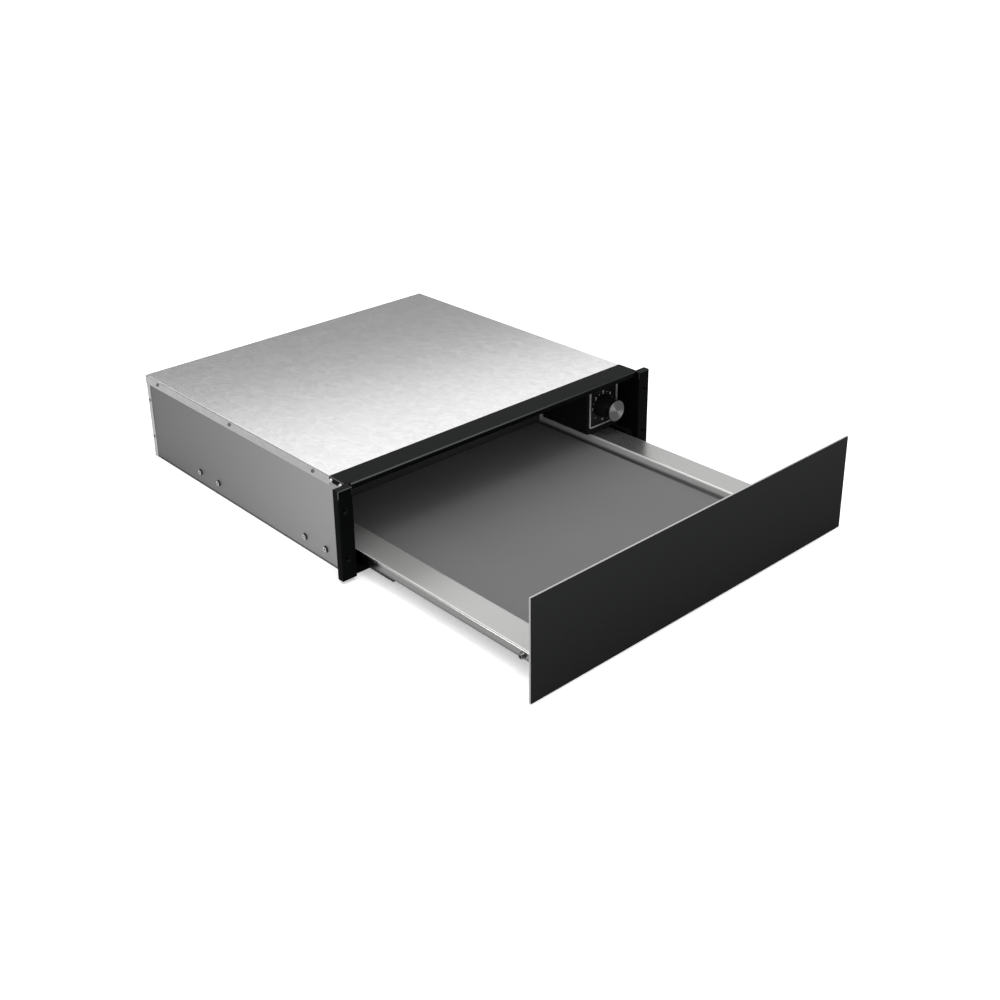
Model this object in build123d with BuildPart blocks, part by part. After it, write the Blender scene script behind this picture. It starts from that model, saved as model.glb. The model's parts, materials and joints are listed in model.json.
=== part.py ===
"""Built-in warming drawer, standing open, as an assembly of separate pieces.

The frame has +X to the right seen from the front, +Y to the back and +Z up. The origin is the
centre of the casing's underside. The drawer runs towards -Y and is modelled standing open.
All sizes are in millimetres.
"""

import os
from math import cos, pi, sin, sqrt

from build123d import *

os.makedirs("parts", exist_ok=True)

# Casing
casing_width = 554.0
casing_depth = 516.0
casing_height = 137.0
sheet = 0.8
base_sheet = 1.0
fold_radius = 2.0
side_flange = 12.0
front_flange = 15.0
cover_flange = 13.5
rear_flange = 11.0
seam_gap = 0.3

# Front frame
post_width = 23.0
post_depth = 11.0
post_overlap = 4.0
post_low = 4.6
post_drop = 0.6
post_round = 1.6
rail_end_gap = 7.0
rail_depth = 38.0
rail_sheet = 1.2
rail_lip = 8.0
rail_setback = 6.0
rail_fold = 3.0
rail_tab_gap = 0.3
foot_rail_end_gap = 2.2
foot_rail_depth = 14.0
foot_rail_height = 5.8
cheek_depth = 33.0
cheek_gap = 4.0

# Drawer travel
opening = 345.0

# Drawer front
panel_overhang = 1.0
panel_rise = 3.0
panel_low = 2.0
panel_gap = 3.0
plate_thickness = 2.8
skin_thickness = 0.8
plate_edge = 0.4
liner_gap = 3.4
liner_depth = 12.0
liner_round = 4.0

# Tray and mat
tray_side_gap = 15.0
tray_flange_top = 35.0
tray_flange_width = 44.0
tray_depth = 16.0
tray_fold = 3.5
skirt_height = 13.0
mat_thickness = 2.0
mat_margin = 2.0
mat_round = 6.0

# Runners
runner_inset = 15.0
bracket_sheet = 2.0
bracket_height = 30.0
bracket_margin = 2.0
runner_width = 18.0
runner_wall = 1.5
runner_fold = 1.8
outer_rail_height = 12.0
outer_rail_front_gap = 2.0
outer_rail_end_gap = 44.0
inner_rail_height = 14.7
inner_rail_setback = 54.0
middle_rail_width = 9.0
middle_rail_length = 330.0
middle_rail_setback = 97.0
cage_sheet = 1.0
cage_air = 0.7
cage_height = 8.0
cage_length = 120.0
cage_balls = 8
lower_cage_setback = 202.0
upper_cage_setback = 264.0
ball_air = 0.3
pocket_air = 0.15

# Control
control_rise = 45.0
housing_width = 65.5
housing_side_gap = 4.65
housing_length = 97.0
housing_gap = 5.0
housing_wall = 2.0
housing_setback = 42.0
plate_width = 60.0
plate_height = 60.0
control_plate_thickness = 0.8
spindle_radius = 3.0
spindle_hole_air = 1.5
spindle_in_knob = 20.0
spindle_in_thermostat = 20.0
knob_radius = 17.0
knob_skirt_radius = 17.6
knob_body_length = 21.0
knob_cap_length = 7.0
knob_gap = 1.0
knob_edge = 1.0
thermostat_radius = 16.0
thermostat_collar = 8.0
thermostat_side = 30.0
thermostat_length = 18.0

# Warm-air unit behind the baffle
duct_gap = 7.0
baffle_flange = 10.0
impeller_air = 2.75
impeller_length = 18.0
impeller_gap = 4.0
impeller_blades = 16
impeller_sheet = 1.2
blade_length = 13.6
blade_angle = 35.0
hub_radius = 9.0
shaft_radius = 2.5
motor_inset = 6.0
motor_length = 20.0
motor_gap = 3.0
motor_edge = 2.0
fan_bracket_depth = 6.4
fan_bracket_sheet = 1.2
fan_bracket_pad = 64.0
fan_bracket_foot = 16.0
fan_bracket_height = 44.0
heater_air = 3.05
heater_tube_radius = 3.25
heater_stand_off = 13.0
heater_stand_offs = 3
heater_stand_off_radius = 2.0
cutout_radius = 8.0
cutout_height = 6.0
cutout_x = 92.0
cutout_rise = 11.3
blade_terminal = (6.3, 8.0, 0.8)
intake_slots = 9
intake_slot_width = 4.0
intake_slot_pitch = 8.0
outlet_slots = 10
outlet_slot_pitch = 10.0
outlet_x = 170.0
outlet_slot_margin = 11.3

# Mains connection and wiring
terminal_length = 40.0
terminal_depth = 20.0
terminal_height = 18.0
terminal_setback = 75.4
terminal_ways = 3
terminal_pitch = 12.0
gland_offset = 50.0
gland_rise = 37.2
gland_bore = 4.1
gland_neck = 7.0
gland_collar = 11.0
gland_collar_length = 6.0
gland_nut_length = 5.0
loom_radius = 3.0
loom_wall_gap = 3.5
loom_drop = 23.4
loom_bend = 16.0
clip_width = 10.0
clip_sheet = 1.2
clip_count = 3

# Push latch
latch_width = 32.0
latch_height = 18.0
latch_length = 9.0
latch_back = 2.0
plunger_radius = 5.0
plunger_reach = 5.6
plunger_in_housing = 3.0
plunger_bore_depth = 6.0
plunger_bore = 3.6
spring_radius = 2.6
spring_wire = 0.35
spring_turns = 6
spring_end_gap = 0.3
catch_width = 40.0
catch_height = 14.0
catch_thickness = 2.0
catch_gap = 0.6

# Fasteners and clearances
running_clearance = 0.05
hole_clearance = 0.2
head_height_share = 0.55
head_taper = 0.72
recess_length_share = 1.1
recess_width_share = 0.26
cover_screw_radius = 1.5
cover_screw_head = 2.9
cover_screw_length = 5.0
cover_screw_drop = 6.0
cover_screw_end_margin = 37.0
runner_screw_radius = 2.0
runner_screw_head = 5.0
runner_screw_length = 6.0
runner_screw_rise = 18.2
runner_screw_setbacks = (53.0, 101.0, 323.0, 374.0)
frame_screw_radius = 1.5
frame_screw_head = 3.0
frame_screw_length = 5.0
frame_screw_setback = 8.0
frame_screw_margin = 4.5
rivet_radius = 1.6
rivet_head = 3.0
rivet_head_height = 0.9
rear_rivet_rise = 34.0
rear_rivet_drop = 41.0
post_rivet_margin = 15.4
post_rivet_grip = 3.6
cabinet_screw_hole = 2.25
cabinet_screw_inset = 10.0
cabinet_screw_spacing = 70.0
front_bolt_radius = 2.0
front_bolt_head = 4.8
front_bolt_head_height = 4.4
front_bolt_setback = 46.0
front_bolt_drop = 8.5
front_bracket_sheet = 2.0
front_bracket_length = 56.0
front_bracket_foot = 18.0
front_bracket_height = 8.0
nut_radius = 4.0
nut_height = 3.2

# Places in the casing and its front frame
half_width = casing_width / 2
side_outer = half_width - sheet
side_inner = side_outer - sheet
fold_inner = fold_radius - sheet
front_y = -casing_depth / 2
rear_y = casing_depth / 2
rear_inner = rear_y - sheet
side_rear = rear_y - fold_radius
cover_under = casing_height - sheet
flange_under = cover_under - sheet
flange_upper = base_sheet + sheet
post_inner = half_width - post_overlap
post_outer = post_inner + post_width
post_front = front_y - post_depth
post_top = casing_height - post_drop
post_middle_z = (post_low + post_top) / 2
rail_half = half_width - rail_end_gap
rail_front = post_front + rail_setback
rail_rear = rail_front + rail_depth
rail_top = cover_under + rail_sheet
rail_tab_x = side_outer + rail_sheet
rail_tab_front = front_y + sheet + rail_tab_gap
cover_front = rail_rear + seam_gap
foot_rail_half = side_outer - side_flange - foot_rail_end_gap
foot_rail_rear = front_y + foot_rail_depth
foot_rail_top = base_sheet + foot_rail_height

# Places of the latch, and of the drawer that closes against it
latch_front = rear_inner - latch_length
plunger_tip = latch_front - plunger_reach
plunger_rear = latch_front + plunger_in_housing
spring_start = plunger_rear - plunger_bore_depth
panel_closed_back = post_front - panel_gap
tray_length = plunger_tip - catch_gap - catch_thickness - panel_closed_back
panel_back = panel_closed_back - opening
panel_front = panel_back - plate_thickness
panel_half = post_outer + panel_overhang
panel_top = casing_height + panel_rise
tray_rear = panel_back + tray_length
tray_half = half_width - tray_side_gap
tray_wall = tray_half - tray_flange_width
tray_floor = tray_flange_top - tray_depth
tray_flange_under = tray_flange_top - sheet
skirt_inner = tray_half - sheet
liner_top = rail_top - rail_lip - liner_gap
latch_z = tray_floor + tray_depth / 2

# Places of the runners
ledge_top = flange_upper + bracket_sheet
runner_x = tray_half - runner_inset
runner_half = runner_width / 2
race_half = runner_half - runner_wall
outer_rail_front = foot_rail_rear + outer_rail_front_gap
outer_rail_rear = side_rear - outer_rail_end_gap
outer_rail_length = outer_rail_rear - outer_rail_front
lower_cage_low = ledge_top + runner_wall + cage_air
middle_rail_low = lower_cage_low + cage_sheet + cage_air
upper_cage_high = tray_flange_under - runner_wall - cage_air
middle_rail_high = upper_cage_high - cage_sheet - cage_air
middle_rail_front = outer_rail_front + middle_rail_setback - opening / 2
lower_cage_middle = outer_rail_front + lower_cage_setback - opening / 4
upper_cage_middle = outer_rail_front + upper_cage_setback - opening * 3 / 4
ball_x = (race_half + middle_rail_width / 2) / 2
ball_radius = (race_half - middle_rail_width / 2) / 2 - ball_air

# Places of the control
housing_front = post_front + housing_setback
housing_rear = housing_front + housing_length
housing_right = side_inner - housing_side_gap
housing_left = housing_right - housing_width
housing_low = tray_flange_top + housing_gap
control_x = (housing_left + housing_right) / 2
control_z = tray_flange_top + control_rise
control_plate_front = housing_front - control_plate_thickness
knob_rear = control_plate_front - knob_gap
knob_cap_rear = knob_rear - knob_body_length
thermostat_front = housing_front + housing_wall
thermostat_rear = thermostat_front + thermostat_collar + thermostat_length

# Places of the warm-air unit, stacked forward from the rear panel, and of its wiring
motor_rear = rear_inner - fan_bracket_depth
motor_front = motor_rear - motor_length
impeller_rear = motor_front - motor_gap
impeller_front = impeller_rear - impeller_length
baffle_back = impeller_front - impeller_gap
baffle_y = baffle_back - sheet
baffle_half = side_inner - fold_inner
baffle_low = tray_flange_top + duct_gap
baffle_floor = baffle_low + sheet
duct_height = flange_under - baffle_floor
fan_z = (baffle_floor + flange_under) / 2
heater_ring_radius = duct_height / 2 - heater_air - heater_tube_radius
impeller_radius = heater_ring_radius - heater_tube_radius - impeller_air
motor_radius = impeller_radius - motor_inset
heater_y = baffle_back + heater_stand_off
intake_slot_length = 2 * motor_radius
outlet_slot_length = duct_height - 2 * outlet_slot_margin
cutout_z = fan_z + cutout_rise
terminal_x = side_inner - terminal_setback
terminal_y = (baffle_back + rear_inner) / 2
terminal_top = baffle_floor + terminal_height
gland_x = terminal_x - gland_offset
gland_z = baffle_floor + gland_rise
loom_x = side_inner - loom_wall_gap - loom_radius
loom_z = flange_under - loom_drop
clip_ys = [
    housing_rear + (baffle_y - housing_rear) * (step + 0.5) / clip_count for step in range(clip_count)
]

# Places of the fasteners
cover_screw_ys = (
    cover_front + cover_screw_end_margin,
    (cover_front + rear_y) / 2,
    rear_y - cover_screw_end_margin,
)
cover_screw_z = casing_height - cover_screw_drop
runner_screw_ys = [front_y + setback for setback in runner_screw_setbacks]
runner_screw_z = flange_upper + runner_screw_rise
frame_screw_ys = (front_y + frame_screw_setback, rail_rear - frame_screw_margin)
frame_screw_z = rail_top - (rail_lip + fold_radius) / 2
rear_rivet_y = rear_y - rear_flange / 2
rear_rivet_heights = (rear_rivet_rise, casing_height - rear_rivet_drop)
post_rivet_x = side_outer + front_flange / 2
post_rivet_heights = (post_low + post_rivet_margin, post_top - post_rivet_margin)
cabinet_screw_x = post_outer - cabinet_screw_inset
cabinet_screw_zs = (post_middle_z - cabinet_screw_spacing / 2, post_middle_z + cabinet_screw_spacing / 2)
front_bolt_y = panel_back + front_bolt_setback
front_bolt_z = tray_flange_top - front_bolt_drop

# Working planes and small helpers
ROUND_LOW = (Align.CENTER, Align.CENTER, Align.MIN)
ROUND_HIGH = (Align.CENTER, Align.CENTER, Align.MAX)


def section_at(y):
    """Plane across the drawer at depth y, where a positive extrude runs to the front."""
    return Plane.XZ.offset(-y)


def facing_front(x, y, z):
    """Place whose local +Z points to the front."""
    return Plane(origin=(x, y, z), x_dir=(1, 0, 0), z_dir=(0, -1, 0))


def facing_back(x, y, z):
    """Place whose local +Z points to the back."""
    return Plane(origin=(x, y, z), x_dir=(-1, 0, 0), z_dir=(0, 1, 0))


def facing_out(x, y, z):
    """Place whose local +Z points away from the middle of the drawer, along X."""
    return Plane(origin=(x, y, z), x_dir=(0, 1, 0), z_dir=(1 if x > 0 else -1, 0, 0))


def block(x, y, z, mode=Mode.ADD):
    """Add or cut a box that spans the given ranges of x, y and z."""
    spans = [sorted(span) for span in (x, y, z)]
    with Locations(tuple((low + high) / 2 for low, high in spans)):
        Box(*(high - low for low, high in spans), mode=mode)


def folded(plane, points, thickness, radius):
    """Section of a sheet folded along the points, its thickness on the left of the line."""
    with BuildSketch(plane) as section:
        with BuildLine():
            FilletPolyline(*points, radius=radius)
            offset(amount=thickness, side=Side.LEFT)
        make_face()
    return section.sketch


def pan_screw(head_radius, shank_radius, shank_length):
    """Add a cross-head screw, its head out along the local +Z."""
    head_height = head_radius * head_height_share
    recess_length = head_radius * recess_length_share
    recess_width = head_radius * recess_width_share
    Cylinder(shank_radius, shank_length, align=ROUND_HIGH)
    Cone(head_radius, head_radius * head_taper, head_height, align=ROUND_LOW)
    with Locations((0, 0, head_height)):
        Box(recess_length, recess_width, head_height, mode=Mode.SUBTRACT)
        Box(recess_width, recess_length, head_height, mode=Mode.SUBTRACT)


def rivet(shank_length):
    """Add a domed rivet, its head out along the local +Z."""
    Cylinder(rivet_radius, shank_length, align=ROUND_HIGH)
    Cone(rivet_head, rivet_head * head_taper, rivet_head_height, align=ROUND_LOW)


def save(piece, name):
    """Label a finished piece and write its file."""
    piece.part.label = name
    export_step(piece.part, f"parts/{name}.step")


def save_pair(right_piece, name):
    """Write a right-hand piece and its mirror image."""
    save(right_piece, f"right_{name}")
    with BuildPart() as left_piece:
        mirror(right_piece.part, about=Plane.YZ)
    save(left_piece, f"left_{name}")


# Casing: base plate
with BuildPart() as base_plate:
    block((-half_width, half_width), (front_y, rear_y), (0, base_sheet))
save(base_plate, "base_plate")

# Casing: side panels, folded in at the foot and the top and out at the front
side_section = folded(
    section_at(side_rear),
    (
        (side_outer - side_flange, base_sheet),
        (side_outer, base_sheet),
        (side_outer, cover_under),
        (side_outer - side_flange, cover_under),
    ),
    sheet,
    fold_radius,
)
with BuildPart() as side_panel:
    extrude(side_section, amount=side_rear - front_y)
    block(
        (side_inner, side_outer + front_flange),
        (front_y, front_y + sheet),
        (post_low + post_round, post_top - post_round),
    )
    with BuildSketch(Plane.YZ.offset(side_inner - sheet)):
        with Locations(*((y, runner_screw_z) for y in runner_screw_ys)):
            Circle(runner_screw_radius + hole_clearance)
        with Locations(*((y, cover_screw_z) for y in cover_screw_ys)):
            Circle(cover_screw_radius + hole_clearance)
        with Locations(*((rear_rivet_y, z) for z in rear_rivet_heights)):
            Circle(rivet_radius + hole_clearance)
        with Locations(*((y, frame_screw_z) for y in frame_screw_ys)):
            Circle(frame_screw_radius + hole_clearance)
    extrude(amount=3 * sheet, mode=Mode.SUBTRACT)
    with BuildSketch(section_at(front_y + 2 * sheet)):
        with Locations(*((post_rivet_x, z) for z in post_rivet_heights)):
            Circle(rivet_radius + hole_clearance)
        with Locations(*((cabinet_screw_x, z) for z in cabinet_screw_zs)):
            Circle(cabinet_screw_hole)
    extrude(amount=3 * sheet, mode=Mode.SUBTRACT)
save_pair(side_panel, "side_panel")

# Casing: top cover, folded down over both sides
cover_section = folded(
    section_at(rear_y),
    (
        (half_width, casing_height - cover_flange),
        (half_width, casing_height),
        (-half_width, casing_height),
        (-half_width, casing_height - cover_flange),
    ),
    sheet,
    fold_radius,
)
with BuildPart() as top_cover:
    extrude(cover_section, amount=rear_y - cover_front)
    with BuildSketch(Plane.YZ):
        with Locations(*((y, cover_screw_z) for y in cover_screw_ys)):
            Circle(cover_screw_radius + hole_clearance)
    extrude(amount=casing_width, both=True, mode=Mode.SUBTRACT)
save(top_cover, "top_cover")

# Casing: rear panel, folded forward over both sides
rear_section = folded(
    Plane.XY.offset(base_sheet),
    (
        (half_width, rear_y - rear_flange),
        (half_width, rear_y),
        (-half_width, rear_y),
        (-half_width, rear_y - rear_flange),
    ),
    sheet,
    fold_radius,
)
with BuildPart() as rear_panel:
    extrude(rear_section, amount=casing_height - cover_flange - seam_gap - base_sheet)
    block(
        (fold_radius - side_outer, side_outer - fold_radius),
        (rear_inner, rear_y),
        (base_sheet, cover_under),
    )
    with BuildSketch(Plane.YZ):
        with Locations(*((rear_rivet_y, z) for z in rear_rivet_heights)):
            Circle(rivet_radius + hole_clearance)
    extrude(amount=casing_width, both=True, mode=Mode.SUBTRACT)
    with BuildSketch(section_at(rear_y + sheet)):
        with Locations((0, fan_z)):
            with GridLocations(intake_slot_pitch, 0, intake_slots, 1):
                SlotOverall(intake_slot_length, intake_slot_width, rotation=90)
        with Locations((gland_x, gland_z)):
            Circle(gland_neck + hole_clearance)
    extrude(amount=3 * sheet, mode=Mode.SUBTRACT)
save(rear_panel, "rear_panel")

# Front frame: top rail, with a tab at each end that folds down over the side
top_rail_section = folded(
    Plane.YZ.offset(-rail_half),
    ((rail_rear, rail_top), (rail_front, rail_top), (rail_front, rail_top - rail_lip)),
    rail_sheet,
    rail_fold,
)
rail_tab_section = folded(
    section_at(rail_rear),
    (
        (rail_tab_x, rail_top - rail_lip),
        (rail_tab_x, rail_top),
        (rail_half - rail_fold, rail_top),
    ),
    rail_sheet,
    fold_radius,
)
with BuildPart() as frame_top_rail:
    extrude(top_rail_section, amount=2 * rail_half)
    extrude(rail_tab_section, amount=rail_rear - rail_tab_front)
    mirror(about=Plane.YZ)
    with BuildSketch(Plane.YZ):
        with Locations(*((y, frame_screw_z) for y in frame_screw_ys)):
            Circle(frame_screw_radius + hole_clearance)
    extrude(amount=casing_width, both=True, mode=Mode.SUBTRACT)
save(frame_top_rail, "frame_top_rail")

# Front frame: posts, with countersunk holes for the cabinet screws
with BuildPart() as frame_post:
    block((post_inner, post_outer), (post_front, front_y), (post_low, post_top))
    fillet(frame_post.faces().sort_by(Axis.Y)[0].edges(), post_round)
    with Locations(*(facing_front(cabinet_screw_x, post_front, z) for z in cabinet_screw_zs)):
        CounterSinkHole(cabinet_screw_hole, 2 * cabinet_screw_hole, post_depth)
    with BuildSketch(section_at(front_y)):
        with Locations(*((post_rivet_x, z) for z in post_rivet_heights)):
            Circle(rivet_radius + hole_clearance)
    extrude(amount=post_depth / 2, mode=Mode.SUBTRACT)
save_pair(frame_post, "frame_post")

# Front frame: dark cheeks that line the mouth between the posts and the control
with BuildPart() as frame_cheek:
    block(
        (side_inner - sheet, side_inner),
        (front_y, front_y + cheek_depth),
        (flange_upper + bracket_height + cheek_gap, flange_under - fold_inner),
    )
    with BuildSketch(Plane.YZ):
        with Locations(*((y, frame_screw_z) for y in frame_screw_ys)):
            Circle(frame_screw_radius + hole_clearance)
    extrude(amount=half_width, mode=Mode.SUBTRACT)
save_pair(frame_cheek, "frame_cheek")

# Front frame: bottom rail, a channel on the base plate
foot_rail_section = folded(
    Plane.YZ.offset(-foot_rail_half),
    (
        (foot_rail_rear, base_sheet),
        (foot_rail_rear, foot_rail_top),
        (front_y, foot_rail_top),
        (front_y, base_sheet),
    ),
    rail_sheet,
    fold_radius,
)
with BuildPart() as frame_bottom_rail:
    extrude(foot_rail_section, amount=2 * foot_rail_half)
save(frame_bottom_rail, "frame_bottom_rail")

# Runners: angle brackets on the sides, standing on their foot flanges
bracket_section = folded(
    section_at(outer_rail_rear),
    (
        (runner_x - runner_half - bracket_margin, flange_upper),
        (side_inner, flange_upper),
        (side_inner, flange_upper + bracket_height),
    ),
    bracket_sheet,
    bracket_sheet + fold_radius,
)
with BuildPart() as runner_bracket:
    extrude(bracket_section, amount=outer_rail_length)
    with BuildSketch(Plane.YZ.offset(side_inner - 2 * bracket_sheet)):
        with Locations(*((y, runner_screw_z) for y in runner_screw_ys)):
            Circle(runner_screw_radius + hole_clearance)
    extrude(amount=3 * bracket_sheet, mode=Mode.SUBTRACT)
save_pair(runner_bracket, "runner_bracket")

# Runners: fixed outer rails, channels that open upwards
outer_rail_section = folded(
    section_at(outer_rail_rear),
    (
        (runner_x - runner_half, ledge_top + outer_rail_height),
        (runner_x - runner_half, ledge_top),
        (runner_x + runner_half, ledge_top),
        (runner_x + runner_half, ledge_top + outer_rail_height),
    ),
    runner_wall,
    runner_fold,
)
with BuildPart() as outer_rail:
    extrude(outer_rail_section, amount=outer_rail_length)
save_pair(outer_rail, "outer_rail")

# Runners: middle rails, which move half as far as the drawer
with BuildPart() as middle_rail:
    with BuildSketch(section_at(middle_rail_front + middle_rail_length)):
        with Locations((runner_x, (middle_rail_low + middle_rail_high) / 2)):
            Rectangle(middle_rail_width, middle_rail_high - middle_rail_low)
            Rectangle(
                middle_rail_width - 2 * runner_wall,
                middle_rail_high - middle_rail_low - 2 * runner_wall,
                mode=Mode.SUBTRACT,
            )
    extrude(amount=middle_rail_length)
save_pair(middle_rail, "middle_rail")

# Runners: inner rails under the tray's flanges
inner_rail_front = panel_back + inner_rail_setback
inner_rail_section = folded(
    section_at(tray_rear),
    (
        (runner_x + runner_half, tray_flange_under - inner_rail_height),
        (runner_x + runner_half, tray_flange_under),
        (runner_x - runner_half, tray_flange_under),
        (runner_x - runner_half, tray_flange_under - inner_rail_height),
    ),
    runner_wall,
    runner_fold,
)
with BuildPart() as inner_rail:
    extrude(inner_rail_section, amount=tray_rear - inner_rail_front)
save_pair(inner_rail, "inner_rail")

# Runners: ball cages, one under and one over each middle rail
cage_half = ball_x + cage_sheet / 2
ball_pitch = cage_length / cage_balls
for level, web_z, tip_z, middle_y in (
    ("lower", lower_cage_low, lower_cage_low + cage_height, lower_cage_middle),
    ("upper", upper_cage_high, upper_cage_high - cage_height, upper_cage_middle),
):
    ball_z = (web_z + tip_z) / 2
    turn = 1 if level == "lower" else -1
    cage_section = folded(
        section_at(middle_y + cage_length / 2),
        (
            (runner_x - turn * cage_half, tip_z),
            (runner_x - turn * cage_half, web_z),
            (runner_x + turn * cage_half, web_z),
            (runner_x + turn * cage_half, tip_z),
        ),
        cage_sheet,
        runner_fold,
    )
    with BuildPart() as ball_cage:
        extrude(cage_section, amount=cage_length)
        with BuildSketch(Plane.YZ.offset(runner_x)):
            with Locations((middle_y, ball_z)):
                with GridLocations(ball_pitch, 0, cage_balls, 1):
                    Circle(ball_radius + pocket_air)
        extrude(amount=runner_width, both=True, mode=Mode.SUBTRACT)
        for side in (-1, 1):
            with Locations((runner_x + side * ball_x, middle_y, ball_z)):
                with GridLocations(0, ball_pitch, 1, cage_balls):
                    Sphere(ball_radius)
    save_pair(ball_cage, f"{level}_ball_cage")

# Drawer: tray of one folded sheet, closed by a front and a rear wall
tray_section = folded(
    section_at(tray_rear),
    (
        (tray_half, tray_flange_top - skirt_height),
        (tray_half, tray_flange_top),
        (tray_wall, tray_flange_top),
        (tray_wall, tray_floor),
        (-tray_wall, tray_floor),
        (-tray_wall, tray_flange_top),
        (-tray_half, tray_flange_top),
        (-tray_half, tray_flange_top - skirt_height),
    ),
    sheet,
    tray_fold,
)
with BuildPart() as tray:
    extrude(tray_section, amount=tray_length)
    for wall_y in (tray_rear - sheet, panel_back):
        block(
            (-tray_wall - sheet / 2, tray_wall + sheet / 2),
            (wall_y, wall_y + sheet),
            (tray_floor - sheet / 2, tray_flange_top - tray_fold),
        )
    with BuildSketch(Plane.YZ):
        with Locations((front_bolt_y, front_bolt_z)):
            Circle(front_bolt_radius + hole_clearance)
    extrude(amount=casing_width, both=True, mode=Mode.SUBTRACT)
save(tray, "tray")

# Drawer: anti-slip mat
with BuildPart() as anti_slip_mat:
    with BuildSketch(Plane.XY.offset(tray_floor)):
        with Locations((0, (panel_back + tray_rear) / 2)):
            RectangleRounded(
                2 * (tray_wall - tray_fold - mat_margin),
                tray_length - 2 * (sheet + mat_margin),
                mat_round,
            )
    extrude(amount=mat_thickness)
    fillet(anti_slip_mat.faces().sort_by(Axis.Z)[-1].edges(), mat_thickness / 4)
save(anti_slip_mat, "anti_slip_mat")

# Drawer: front plate and its dark skin
with BuildPart() as front_panel:
    block(
        (-panel_half, panel_half),
        (panel_front, panel_back),
        (panel_low, panel_top),
    )
    chamfer(front_panel.faces().sort_by(Axis.Y)[-1].edges(), plate_edge)
save(front_panel, "front_panel")

with BuildPart() as front_skin:
    block(
        (-panel_half, panel_half),
        (panel_front - skin_thickness, panel_front),
        (panel_low, panel_top),
    )
    fillet(front_skin.faces().sort_by(Axis.Y)[0].edges(), skin_thickness / 2)
save(front_skin, "front_skin")

# Drawer: inner panel behind the front plate, a shallow pan on the tray's flanges
with BuildPart() as front_inner_panel:
    block(
        (-tray_half, tray_half),
        (panel_back, panel_back + liner_depth),
        (tray_flange_top, liner_top),
    )
    fillet(front_inner_panel.edges().filter_by(Axis.Y), liner_round)
    fillet(front_inner_panel.faces().sort_by(Axis.Y)[-1].edges(), fold_radius)
    offset(amount=-sheet, openings=front_inner_panel.faces().sort_by(Axis.Y)[0])
save(front_inner_panel, "front_inner_panel")

# Drawer: angle brackets, bolts and nuts that join the tray to the front
with BuildPart() as front_bracket:
    bracket_low = front_bolt_z - front_bracket_height / 2
    bracket_high = front_bolt_z + front_bracket_height / 2
    block(
        (skirt_inner - front_bracket_sheet, skirt_inner),
        (panel_back, panel_back + front_bracket_length),
        (bracket_low, bracket_high),
    )
    block(
        (skirt_inner - front_bracket_foot, skirt_inner),
        (panel_back + sheet, panel_back + sheet + front_bracket_sheet),
        (bracket_low, bracket_high),
    )
    with BuildSketch(Plane.YZ.offset(skirt_inner)):
        with Locations((front_bolt_y, front_bolt_z)):
            Circle(front_bolt_radius + hole_clearance)
    extrude(amount=2 * front_bracket_sheet, both=True, mode=Mode.SUBTRACT)
save_pair(front_bracket, "front_bracket")

nut_seat = skirt_inner - front_bracket_sheet
bolt_head_end = tray_half + front_bolt_head_height
with BuildPart() as front_bolts:
    with Locations(*(facing_out(side * tray_half, front_bolt_y, front_bolt_z) for side in (-1, 1))):
        Cylinder(front_bolt_radius, tray_half - nut_seat + nut_height + sheet, align=ROUND_HIGH)
        Cone(front_bolt_head, front_bolt_head * head_taper, front_bolt_head_height, align=ROUND_LOW)
    for side in (-1, 1):
        with BuildSketch(facing_out(side * bolt_head_end, front_bolt_y, front_bolt_z)):
            RegularPolygon(front_bolt_radius, 6)
        extrude(amount=-front_bolt_head_height / 2, mode=Mode.SUBTRACT)
save(front_bolts, "front_bolts")

with BuildPart() as front_nuts:
    for side in (-1, 1):
        with BuildSketch(facing_out(side * nut_seat, front_bolt_y, front_bolt_z)):
            RegularPolygon(nut_radius, 6)
            Circle(front_bolt_radius + running_clearance, mode=Mode.SUBTRACT)
        extrude(amount=-nut_height)
save(front_nuts, "front_nuts")

# Drawer: catch plate on the tray's rear wall
with BuildPart() as catch_plate:
    block(
        (-catch_width / 2, catch_width / 2),
        (tray_rear, tray_rear + catch_thickness),
        (latch_z - catch_height / 2, latch_z + catch_height / 2),
    )
    fillet(catch_plate.edges().filter_by(Axis.Y), catch_thickness)
save(catch_plate, "catch_plate")

# Control: housing hung under the right side's top flange, open at the back
with BuildPart() as control_housing:
    block((housing_left, housing_right), (housing_front, housing_rear), (housing_low, flange_under))
    fillet(control_housing.faces().sort_by(Axis.Y)[0].edges().filter_by(Axis.Z), housing_wall)
    block(
        (housing_left + housing_wall, housing_right - housing_wall),
        (housing_front + housing_wall, housing_rear),
        (housing_low + housing_wall, flange_under - housing_wall),
        mode=Mode.SUBTRACT,
    )
    with Locations(facing_front(control_x, housing_front, control_z)):
        Hole(spindle_radius + spindle_hole_air, housing_wall)
save(control_housing, "control_housing")

with BuildPart() as control_plate:
    with BuildSketch(section_at(housing_front)):
        with Locations((control_x, control_z)):
            RectangleRounded(plate_width, plate_height, housing_wall)
            Circle(spindle_radius + spindle_hole_air, mode=Mode.SUBTRACT)
    extrude(amount=control_plate_thickness)
save(control_plate, "control_plate")

# Control: thermostat behind the housing's front wall
with BuildPart() as thermostat:
    with Locations(facing_back(control_x, thermostat_front, control_z)):
        Cylinder(thermostat_radius, thermostat_collar, align=ROUND_LOW)
        with Locations((0, 0, thermostat_collar)):
            Box(thermostat_side, thermostat_side, thermostat_length, align=ROUND_LOW)
    with Locations(facing_front(control_x, thermostat_front, control_z)):
        Hole(spindle_radius + running_clearance, spindle_in_thermostat)
save(thermostat, "thermostat")

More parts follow.
